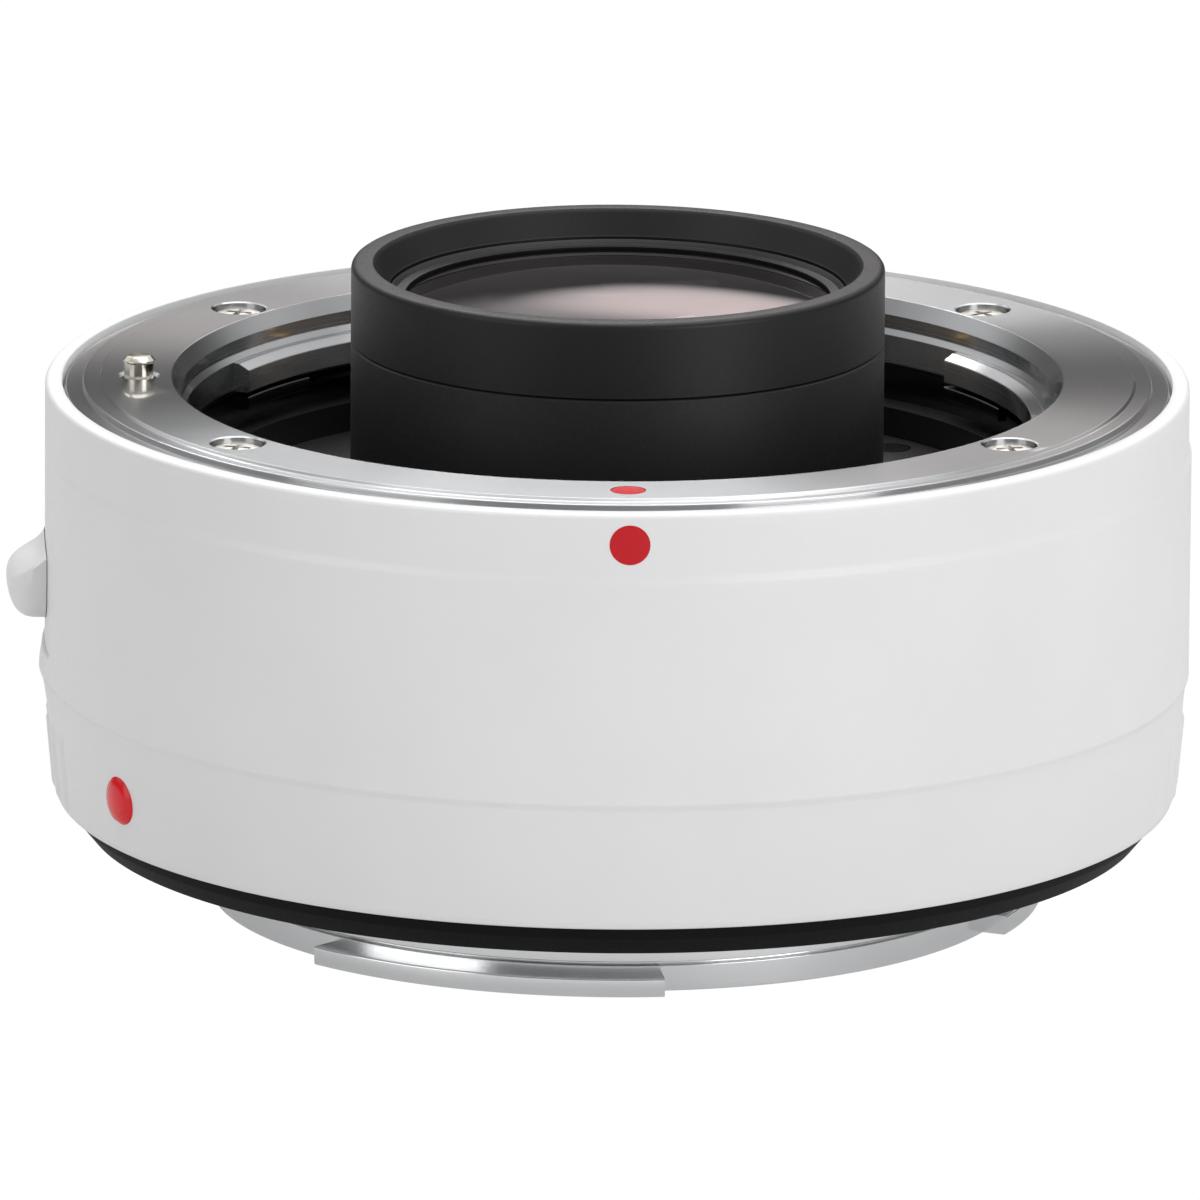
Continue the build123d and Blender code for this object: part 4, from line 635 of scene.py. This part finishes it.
# The eight screws of both rings are one piece. Each lens-side screw stopped at a different turn.
REAR_SCREWS = (45.0, 135.0, 225.0, 315.0)
REAR_SCREW_PLACE = 29.1
SCREW_SUNK = 0.25
SCREW_STOP_TURN = 17
screws, recesses = [], []
for number, azimuth in enumerate(FLANGE_SCREWS):
    place = ring_place(FLANGE_SCREW_PLACE, azimuth)
    screws.append(machine_screw(place, FLANGE - SCREW_SUNK, 1))
    recesses += cross_blades(place, FLANGE - SCREW_SUNK, 1, azimuth + SCREW_STOP_TURN * number)
for azimuth in REAR_SCREWS:
    place = ring_place(REAR_SCREW_PLACE, azimuth)
    screws.append(machine_screw(place, SCREW_SUNK, -1))
    recesses += cross_blades(place, SCREW_SUNK, -1, azimuth)
flange_screws = piece("flange_screws", *screws)
# One blade of every cross is cut first and then the other, so cutters never overlap.
for blades in (recesses[0::2], recesses[1::2]):
    cut(flange_screws, *blades)
finish_piece(flange_screws, plated_steel, ["mount_screws"])

# The liner lies under the claws, with a stop at the far end of each.
LINER_LOW = 20.8
LINER_TOP = 22.94
STOP_LOW = 22.1
STOP_SWEEP = 15
liner_outline = rounded(
    (THROAT_RADIUS, LINER_LOW), (MOUTH_RADIUS, LINER_LOW), (MOUTH_RADIUS, LINER_TOP),
    (THROAT_RADIUS, LINER_TOP, 0.1))
stop_outline = rounded(
    (CLAW_RADIUS, STOP_LOW, 0.12), (CLAW_RADIUS, LINER_TOP, 0.12), (27.5, LINER_TOP), (27.5, STOP_LOW))
stops = [swept(stop_outline, start + sweep - STOP_SWEEP, STOP_SWEEP)
         for start, sweep in zip(CLAW_STARTS, CLAW_SWEEPS)]
liner = piece("throat_liner", turned(liner_outline), *stops)
finish_piece(liner, moulded_black, ["front_guide_ring"])

# Barrel

BARREL = 16.7
BORE = 12.35
GLASS_SEAT = 13.65
REGISTER = 15.6
REAR_LIP = 11.2
BARREL_LOW = 1.0
PLATE_RADIUS = 25.4
PLATE_TOP = 19.0
PLATE_UNDERSIDE = 17.8
SEAM = 29.58
SEAM_BEVEL = 0.1
SEAM_GAP = 0.02
CAP_TOP = 34.45
CAP_BORE = 15.65
CAP_BEVEL = 0.12

# Register for the cap, seam, outer wall, the plate that is the floor round the barrel, outer wall, rear lip,
# bore, and seat of the front glass.
tube_outline = rounded(
    (14.3, 32.2), (REGISTER, 32.2), (REGISTER, SEAM - SEAM_GAP), (BARREL - SEAM_BEVEL, SEAM - SEAM_GAP),
    (BARREL, SEAM - SEAM_GAP - SEAM_BEVEL), (BARREL, PLATE_TOP), (PLATE_RADIUS, PLATE_TOP, 0.1),
    (PLATE_RADIUS, PLATE_UNDERSIDE), (BARREL, PLATE_UNDERSIDE), (BARREL, BARREL_LOW, 0.2),
    (REAR_LIP, BARREL_LOW, 0.1), (REAR_LIP, 2.0), (BORE, 2.0), (BORE, 18.2), (GLASS_SEAT, 18.2),
    (GLASS_SEAT, 31.2), (14.3, 31.2))
tube = piece("barrel_tube", turned(tube_outline))

# Through the plate go an opening for the contact block, three stepped screw holes and two plain ones beside
# the block.
PLATE_SCREWS = (40.0, 160.0, 280.0)
PLATE_SCREW_PLACE = 23.2
BLOCK_SCREWS = (CONTACT_SIDE - 32.0, CONTACT_SIDE + 32.0)
BLOCK_SCREW_PLACE = 21.7
HOLE_TOP = 19.6
HOLE_LOW = 17.0
OPENING_HALF_ANGLE = 28.4
opening = swept(np.array([(19.1, HOLE_LOW), (24.4, HOLE_LOW), (24.4, 20.0), (19.1, 20.0)]),
                CONTACT_SIDE - OPENING_HALF_ANGLE, 2 * OPENING_HALF_ANGLE)
stepped_hole = rounded(
    (0, HOLE_TOP), (1.2, HOLE_TOP), (1.2, 18.4), (0.75, 18.4), (0.75, HOLE_LOW), (0, HOLE_LOW))
plain_hole = rounded((0, HOLE_TOP), (0.75, HOLE_TOP), (0.75, HOLE_LOW), (0, HOLE_LOW))
cut(tube, opening, *turned_at(PLATE_SCREW_PLACE, PLATE_SCREWS, stepped_hole),
    *turned_at(BLOCK_SCREW_PLACE, BLOCK_SCREWS, plain_hole))
even_light(tube)
finish_piece(tube, anodised_black, ["lens_barrel"])

# Down the inside of the cap run light-trapping grooves, each a short cone and a ledge.
GROOVES = 7
GROOVES_TOP_RADIUS = 15.1
GROOVES_TOP = CAP_TOP - 0.25
GROOVES_NARROWING = 0.75
GROOVES_DEPTH = 1.35
GROOVE_CONE_SHARE = 0.6
GROOVE_CONE_NARROWING = 0.03
groove_rows = []
for number in range(GROOVES):
    groove_radius = GROOVES_TOP_RADIUS - GROOVES_NARROWING * number / GROOVES
    groove_top = GROOVES_TOP - GROOVES_DEPTH * number / GROOVES
    cone_low = groove_top - GROOVES_DEPTH / GROOVES * GROOVE_CONE_SHARE
    groove_rows += [(groove_radius, groove_top), (groove_radius - GROOVE_CONE_NARROWING, cone_low)]
cap_outline = rounded(
    (CAP_BORE, SEAM), (BARREL - CAP_BEVEL, SEAM), (BARREL, SEAM + CAP_BEVEL), (BARREL, CAP_TOP, 0.4),
    (15.35, CAP_TOP, 0.06), *groove_rows, (14.35, 32.85), (14.35, 32.25), (CAP_BORE, 32.25))
cap = piece("barrel_cap_ring", turned(cap_outline))
even_light(cap)
finish_piece(cap, anodised_cap_painted_shade, ["barrel_cap"])

retainer_outline = rounded(
    (14.25, 31.2), (GLASS_SEAT, 31.2), (GLASS_SEAT, 31.6), (13.35, 32.2), (13.35, 32.4),
    (13.95, 32.42, 0.05), (14.25, 32.8, 0.05))
retainer = piece("glass_retainer", turned(retainer_outline))
finish_piece(retainer, anodised_cap_painted_shade, ["front_retaining_ring"])

# Glass


def sphere_rows(radius, rim, centre):
    """Rows from rim to axis on the sphere through (radius, rim) and (0, centre). With ball its radius, the
    height is centre - ball + sqrt(ball^2 - r^2) where the middle is high, and mirrored where it is low."""
    sag = centre - rim
    ball = (radius**2 + sag**2) / (2 * abs(sag))
    r = np.linspace(radius, 0, GLASS_ROWS)
    return np.stack([r, centre - np.sign(sag) * (ball - np.sqrt(ball**2 - r**2))], axis=1)


def glass_element(name, radius, top_rim, top_centre, low_rim, low_centre, bevel=0.0):
    """A glass element: two spherical faces and a ground edge, turned about the axis."""
    top = sphere_rows(radius - bevel, top_rim + 2 * bevel, top_centre)[::-1]
    edge = [np.array([(radius, top_rim)])] if bevel else []
    low = sphere_rows(radius, low_rim, low_centre)
    return piece(name, turned(np.concatenate([top, *edge, low]), GLASS_TURN), sharp_above=SHARP_GLASS)


front_glass = glass_element(
    "front_glass", 13.58, top_rim=31.6, top_centre=33.4, low_rim=30.22, low_centre=28.22, bevel=0.3)
finish_piece(front_glass, front_glass_with_painted_shade, ["lens_element_1"])
rear_glass = glass_element("rear_glass", 12.28, top_rim=4.58, top_centre=3.28, low_rim=2.02, low_centre=2.5)
finish_piece(rear_glass, coated_glass, ["lens_element_7"])

# Camera-side bayonet

SPIGOT_RADIUS = 25.5
SPIGOT_BORE = 23.6
SPIGOT_LOW = -5.9
CAMERA_RING_TOP = 1.68
CAMERA_RING_RADIUS = 32.5
CAMERA_CLAW_TOP = -4.7
CAMERA_CLAW_RADIUS = 26.9
CAMERA_CLAW_STARTS = (91.5, 225.0, 334.5)
CAMERA_CLAW_SWEEP = 50.5

# Ring, flange face, spigot with its undercut, and bore.
camera_outline = rounded(
    (SPIGOT_BORE, CAMERA_RING_TOP), (CAMERA_RING_RADIUS, CAMERA_RING_TOP, 0.1),
    (CAMERA_RING_RADIUS, 0, 0.15), (SPIGOT_RADIUS, 0, 0.08), (SPIGOT_RADIUS, -4.0, 0.06), (25.0, -4.0),
    (25.0, -4.2), (25.4, -4.25, 0.06), (25.4, SPIGOT_LOW, 0.15), (SPIGOT_BORE, SPIGOT_LOW, 0.15))
camera_claw_outline = rounded(
    (24.5, CAMERA_CLAW_TOP), (CAMERA_CLAW_RADIUS, CAMERA_CLAW_TOP, 0.1),
    (CAMERA_CLAW_RADIUS, SPIGOT_LOW, 0.18), (24.5, SPIGOT_LOW))
camera_screw_well = rounded(
    (0, -WELL_ABOVE), (2.15, -WELL_ABOVE), (1.8, 0), (1.7, 0.08), (1.7, 0.85), (0.95, 0.85), (0.95, 2.0),
    (0, 2.0))
socket_well = rounded((0, -WELL_ABOVE), (2.2, -WELL_ABOVE), (1.85, 0), (1.7, 0.15), (1.7, 2.0), (0, 2.0))
camera_flange = piece("camera_flange", turned(camera_outline))
cut(camera_flange, *turned_at(REAR_SCREW_PLACE, REAR_SCREWS, camera_screw_well),
    *turned_at(LOCK_PLACE, [LEVER_SIDE], socket_well, DOT_TURN))
camera_claws = [swept(camera_claw_outline, start, CAMERA_CLAW_SWEEP) for start in CAMERA_CLAW_STARTS]
joined(camera_flange, *camera_claws)
even_light(camera_flange)
finish_piece(camera_flange, chromed_brass, ["rear_mount_ring"])

# The seal clips round the ring and spreads into a thin skirt.
seal_outline = rounded(
    (32.55, 1.6), (33.05, 1.6, 0.08), (33.05, 0.55), (34.3, 0.55, 0.12), (34.1, -0.25, 0.3),
    (33.15, -1.4, 0.1), (32.75, -1.4, 0.1), (32.65, -0.05), (32.55, -0.05))
seal = piece("seal_skirt", turned(seal_outline))
finish_piece(seal, seal_rubber, ["rear_seal"])

# Lever and lock pin

KNOB_BACK = 35.87
KNOB_REACH = 38.24
KNOB_NOSE = 14.4
KNOB_HALF_WIDTH = 3.5
# How high the knob's crown and edge and how low its underside stand from the nose, at the wall.
CROWN_RISE = 2.25
CROWN_FLARE = 0.6
EDGE_RISE = 1.8
UNDER_DROP = 2.35
# Below 1 the underside is boxier than an ellipse.
BOXY = 0.42
KNOB_STATIONS = 26
CROWN_POINTS = 21


def thumb_pebble():
    """A pebble over two parameters. t runs from the wall (0) to the tip (1). At each t the section is a loop,
    over the crown and back under. Its half width is 3.5 (1 - t^3)^0.42. Its crown is a parabola from the
    edge, at 14.4 + 1.8 (1 - t)^1.15, to the top, at 14.4 + 2.25 (1 - t)^0.36 + 0.6 (1 - t)^8. Its underside
    is boxy and reaches 14.4 - 2.35 (1 - t^4)^0.67. The back follows the wall: x = -sqrt(35.87^2 - y^2)."""
    t = (1 - np.linspace(1, 0, KNOB_STATIONS) ** 2)[:, None]
    half = KNOB_HALF_WIDTH * (1 - t**3) ** 0.42
    crown = KNOB_NOSE + CROWN_RISE * (1 - t) ** 0.36 + CROWN_FLARE * (1 - t) ** 8
    edge = KNOB_NOSE + EDGE_RISE * (1 - t) ** 1.15
    under = KNOB_NOSE - UNDER_DROP * (1 - t**4) ** 0.67
    over = np.linspace(1, -1, CROWN_POINTS)[None, :]
    turn = np.linspace(pi, 2 * pi, 2 * CROWN_POINTS)[None, 1:-1]
    over_y, over_z = half * over, edge + (crown - edge) * (1 - over**2)
    under_y = half * np.sign(np.cos(turn)) * abs(np.cos(turn)) ** BOXY
    under_z = edge + (under - edge) * abs(np.sin(turn)) ** BOXY
    y, z = np.concatenate([over_y, under_y], axis=1), np.concatenate([over_z, under_z], axis=1)
    back = np.sqrt(KNOB_BACK**2 - y**2)
    x = -back - (KNOB_REACH - back) * t
    columns = y.shape[1]
    first_end = np.arange(columns)[None, :]
    last_end = first_end + (KNOB_STATIONS - 1) * columns
    return grid_points(x, y, z), [grid_quads(KNOB_STATIONS, columns, False, True), first_end, last_end]


stem = block((-KNOB_BACK - 0.02, -2.0, 13.8), (-31.3, 2.0, 15.0))
stem_hole = turned(rounded((0, 16.0), (0.75, 16.0), (0.75, 13.0), (0, 13.0)), SMALL_TURN, (-32.3, 0))
lever = piece("lever_thumb_piece", stem)
cut(lever, stem_hole)
joined(lever, thumb_pebble(), sharp_above=SHARP_KNOB)
finish_piece(lever, white_enamel, ["release_lever"], "lock_release")

PIN_TOP = 28.5
PIN_RADIUS = 1.05
PIN_LOW = 12.4
# Bevelled head, thin neck at the flange, shank with its collar.
pin_outline = rounded(
    (0, PIN_TOP), (0.76, PIN_TOP, 0.06), (1.04, PIN_TOP - 0.28, 0.06), (1.04, 28.17, 0.04), (0.94, 28.06),
    (0.94, 25.7), (PIN_RADIUS, 25.7), (PIN_RADIUS, 21.9), (1.5, 21.9, 0.08), (1.5, 21.1), (PIN_RADIUS, 21.1),
    (PIN_RADIUS, PIN_LOW), (0, PIN_LOW))
pin = piece("lock_pin_turned", *turned_at(LOCK_PLACE, [LEVER_SIDE], pin_outline, PIN_TURN))
finish_piece(pin, turned_pin, ["lock_pin"], "lock_release")

# Index bead and dots

BEAD_PLACE = 35.46
BEAD_AZIMUTH = 208.7
BEAD_HEIGHT = 4.2
outward = ring_place(1, BEAD_AZIMUTH)
sideways = np.array((-outward[1], outward[0], 0))
# A low dome and the peg behind it, as (radius, distance outwards).
bead_outline = rounded(
    (0, 0.45), (0.9, 0.37), (1.35, 0.22), (1.62, -0.1, 0.08), (1.62, -0.25), (1.1, -0.25), (1.1, -1.2),
    (0, -1.2))
bead_shape = placed(turned(bead_outline, DOT_TURN), (sideways, (0, 0, 1), outward),
                    ring_place(BEAD_PLACE, BEAD_AZIMUTH, BEAD_HEIGHT))
bead = piece("index_bead", bead_shape, sharp_above=SHARP_PAINTED)
finish_piece(bead, red_lacquer, ["rear_index_bead"])

INK = 0.02
INK_EDGE = 0.6 * INK


def printed_dot(radius, wall, height, rings=7, spokes=56):
    """A disc of ink laid round the wall: x = wall sin(u / wall), y = -wall cos(u / wall), z = height + v. It
    stands INK proud, INK_EDGE at its rim, and its back lies INK inside the wall."""
    r = np.concatenate([np.linspace(0, radius, rings), np.linspace(radius, 0, rings)])[:, None]
    out = np.concatenate([np.full(rings - 1, INK), [INK_EDGE], np.full(rings, -INK)])[:, None]
    a = np.linspace(0, 2 * pi, spokes, endpoint=False)[None, :]
    u, v = r * np.cos(a), r * np.sin(a)
    points = grid_points((wall + out) * np.sin(u / wall), -(wall + out) * np.cos(u / wall), height + v)
    return points, [grid_quads(2 * rings, spokes, True, True)]


shell_dot = piece("shell_dot", printed_dot(1.25, BAND_RADIUS, 25.1))
finish_piece(shell_dot, red_ink, [])
fill_outline = rounded((0, 27.13), (0.9, 27.15), (1.06, 27.18, 0.02), (1.08, 27.06), (0, 27.06))
flange_dot = piece("flange_dot", *turned_at(DOT_PLACE, [DOT_AZIMUTH], fill_outline, DOT_TURN))
finish_piece(flange_dot, red_ink, [])

# CAD nodes that stay

KEPT = {
    "inner_chassis": cast_alloy, "rear_base_plate": cast_alloy, "front_spacer": cast_alloy,
    "rear_spacer": cast_alloy, "mount_leaf_spring": spring_steel, "rear_mount_shim": spring_steel,
    "rear_baffle": moulded_black, "rear_contact_block": moulded_black, "front_contact_block": moulded_black,
    "rear_contact_pads": gold_plate, "circuit_board": solder_resist, "flex_cable": polyimide,
    "assembly_screws": spring_steel, "lever_base": cast_alloy, "guide_posts": plated_steel,
    "lock_springs": spring_steel, "lever_bracket": spring_steel, "lever_screw": plated_steel,
}
for number in range(2, 7):
    KEPT[f"lens_element_{number}"] = coated_glass
for number in range(1, 12):
    KEPT[f"contact_pin_{number}"] = gold_plate
    KEPT[f"contact_spring_{number}"] = spring_steel
for node_name, material in KEPT.items():
    if node_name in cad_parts:
        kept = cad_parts[node_name]
        kept.data.materials.clear()
        kept.data.materials.append(material)

# Floor, room and lights, measured in metres

FLOOR = -5.92 * MM
FLOOR_REACH = 1.6
# What the camera sees of floor and room is this white.
WHITE_SEEN = 1.02
scene = bpy.context.scene
scene.view_settings.view_transform = "Standard"
scene.view_settings.look = "None"


def stage_surface(name, shade):
    """A plain pale surface. The camera sees it evenly white, and the object sees it glow, more to the right
    and less beyond the object."""
    material, tree, shader, coordinates = start_material(
        name, Roughness=0.9, Base_Color=srgb(shade), Emission_Color=srgb(WHITE))
    place = add(tree, "ShaderNodeSeparateXYZ", {"Vector": (coordinates, "Object")})
    rightward = add(tree, "ShaderNodeMapRange", {"Value": (place, "X")},
                    {"From Min": -0.25, "From Max": 0.3, "To Min": 0.3, "To Max": 0.55})
    nearness = add(tree, "ShaderNodeMapRange", {"Value": (place, "Y")},
                   {"From Min": 0.12, "From Max": -0.08, "To Min": 0.3, "To Max": 1.0})
    glow = add(tree, "ShaderNodeMath", {0: (rightward, "Result"), 1: (nearness, "Result")},
               operation="MULTIPLY")
    tree.links.new(glow.outputs["Value"], shader.inputs["Emission Strength"])
    path = add(tree, "ShaderNodeLightPath")
    seen = add(tree, "ShaderNodeEmission", inputs={"Color": srgb(WHITE), "Strength": WHITE_SEEN})
    mix = add(tree, "ShaderNodeMixShader",
              {0: (path, "Is Camera Ray"), 1: (shader, "BSDF"), 2: (seen, "Emission")})
    tree.links.new(mix.outputs["Shader"], tree.nodes["Material Output"].inputs["Surface"])
    return material


floor_mesh = bpy.data.meshes.new("studio_floor")
floor_corners = [(FLOOR_REACH * x, FLOOR_REACH * y, FLOOR) for x, y in ((-1, -1), (1, -1), (1, 1), (-1, 1))]
floor_mesh.from_pydata(floor_corners, [], [(0, 1, 2, 3)])
floor = bpy.data.objects.new("studio_floor", floor_mesh)
scene.collection.objects.link(floor)
floor.data.materials.append(stage_surface("studio_white", "#A8A8A8"))

# Room: pale on the camera's side, and beyond the object dark low down and bright above. One soft window
# beyond the object, faintly pink, shows in the front glass. WINDOW_EDGE and WINDOW_CORE are angles from its
# middle: it fades out at the first and is full within the second.
WINDOW_DIRECTION = (0.0814, 0.93, 0.3584)
WINDOW_EDGE = 7.5
WINDOW_CORE = 1.5
WINDOW_LEVEL = 2.1
WINDOW_TONE = "#FFF2F0"

world = bpy.data.worlds.new("studio")
scene.world = world
world.use_nodes = True
sky = world.node_tree
direction = add(sky, "ShaderNodeTexCoord")
heading = add(sky, "ShaderNodeSeparateXYZ", {"Vector": (direction, "Generated")})
near_rise = add(sky, "ShaderNodeMapRange", {"Value": (heading, "Z")},
                {"From Min": 0.0, "From Max": 0.9, "To Min": 0.12, "To Max": 0.8})
near_side = add(sky, "ShaderNodeMapRange", {"Value": (heading, "X")},
                {"From Min": -0.3, "From Max": 0.5, "To Min": 0.75, "To Max": 1.1})
near_level = add(sky, "ShaderNodeMath", {0: (near_rise, "Result"), 1: (near_side, "Result")},
                 operation="MULTIPLY")
far_low = add(sky, "ShaderNodeMapRange", {"Value": (heading, "X")},
              {"From Min": -0.4, "From Max": 0.5, "To Min": 0.15, "To Max": 0.08})
far_level = add(sky, "ShaderNodeMapRange", {"Value": (heading, "Z"), "To Min": (far_low, "Result")},
                {"From Min": 0.26, "From Max": 0.45, "To Max": 1.15}, interpolation_type="SMOOTHSTEP")
far_share = add(sky, "ShaderNodeMapRange", {"Value": (heading, "Y")}, {"From Min": -0.1, "From Max": 0.3})
room_level = add(sky, "ShaderNodeMix",
                 {"Factor": (far_share, "Result"), "A": (near_level, "Value"), "B": (far_level, "Result")})
towards_window = add(sky, "ShaderNodeVectorMath", {0: (direction, "Generated")}, {1: WINDOW_DIRECTION},
                     operation="DOT_PRODUCT")
window_share = add(sky, "ShaderNodeMapRange", {"Value": (towards_window, "Value")},
                   {"From Min": cos(radians(WINDOW_EDGE)), "From Max": cos(radians(WINDOW_CORE))},
                   interpolation_type="SMOOTHSTEP")
lit_level = add(sky, "ShaderNodeMath", {0: (window_share, "Result"), 2: (room_level, "Result")},
                {1: WINDOW_LEVEL}, operation="MULTIPLY_ADD")
tone = add(sky, "ShaderNodeMix", {"Factor": (window_share, "Result")},
           {"A": srgb(WHITE), "B": srgb(WINDOW_TONE)}, data_type="RGBA")
sky_path = add(sky, "ShaderNodeLightPath")
level = add(sky, "ShaderNodeMix", {"Factor": (sky_path, "Is Camera Ray"), "A": (lit_level, "Value")},
            {"B": WHITE_SEEN})
background = sky.nodes["Background"]
sky.links.new(level.outputs["Result"], background.inputs["Strength"])
sky.links.new(tone.outputs["Result"], background.inputs["Color"])

# Softboxes as name, place, width and depth, and power in watts. All face the object.
LIT_POINT = (0, 0, 0.01)
SOFTBOXES = (
    ("overhead_softbox", (0.05, 0.1, 0.6), (0.6, 0.5), 3.0),
    ("right_softbox", (0.3, -0.36, 0.14), (0.25, 0.3), 1.05),
    ("far_softbox", (-0.16, 0.74, 0.62), (0.5, 0.16), 1.7),
    ("left_fill", (-0.6, -0.4, 0.3), (0.5, 0.6), 1.8),
)
for name, place, (width, depth), power in SOFTBOXES:
    lamp = bpy.data.lights.new(name, "AREA")
    lamp.shape = "RECTANGLE"
    lamp.size, lamp.size_y = width, depth
    lamp.energy = power
    softbox = bpy.data.objects.new(name, lamp)
    softbox.location = place
    softbox.rotation_euler = (Vector(LIT_POINT) - Vector(place)).to_track_quat("-Z", "Y").to_euler()
    softbox.visible_camera = False
    scene.collection.objects.link(softbox)

# Camera, in millimetres again but for its clip span in metres. It has the photograph's viewing angle, fitted
# to the silhouette. AIM_SHIFT moves the aim right and up.
DISTANCE = 1400.0
ELEVATION = 13.92
ROLL = 0.4
VIEW_AZIMUTH = 268.65
MIDDLE = np.array((0, 0, 14.0))
AIM_SHIFT = (-0.991, -1.223)
SENSOR_WIDTH = 36.0
FOCAL_LENGTH = 669.5
CLIP_SPAN = (0.01, 10.0)

toward = ring_place(cos(radians(ELEVATION)), VIEW_AZIMUTH, sin(radians(ELEVATION)))
right = np.cross((0, 0, 1), toward)
right /= np.linalg.norm(right)
upward = np.cross(toward, right)
eye = MIDDLE + DISTANCE * toward
aim = MIDDLE + AIM_SHIFT[0] * right + AIM_SHIFT[1] * upward
lens_data = bpy.data.cameras.new("photo_camera")
lens_data.sensor_width = SENSOR_WIDTH
lens_data.lens = FOCAL_LENGTH
lens_data.clip_start, lens_data.clip_end = CLIP_SPAN
camera = bpy.data.objects.new("photo_camera", lens_data)
scene.collection.objects.link(camera)
look = Vector((aim - eye).tolist()).to_track_quat("-Z", "Y").to_matrix().to_4x4()
roll = Matrix.Rotation(radians(ROLL), 4, "Z")
camera.matrix_world = Matrix.Translation(Vector((eye * MM).tolist())) @ look @ roll
scene.camera = camera
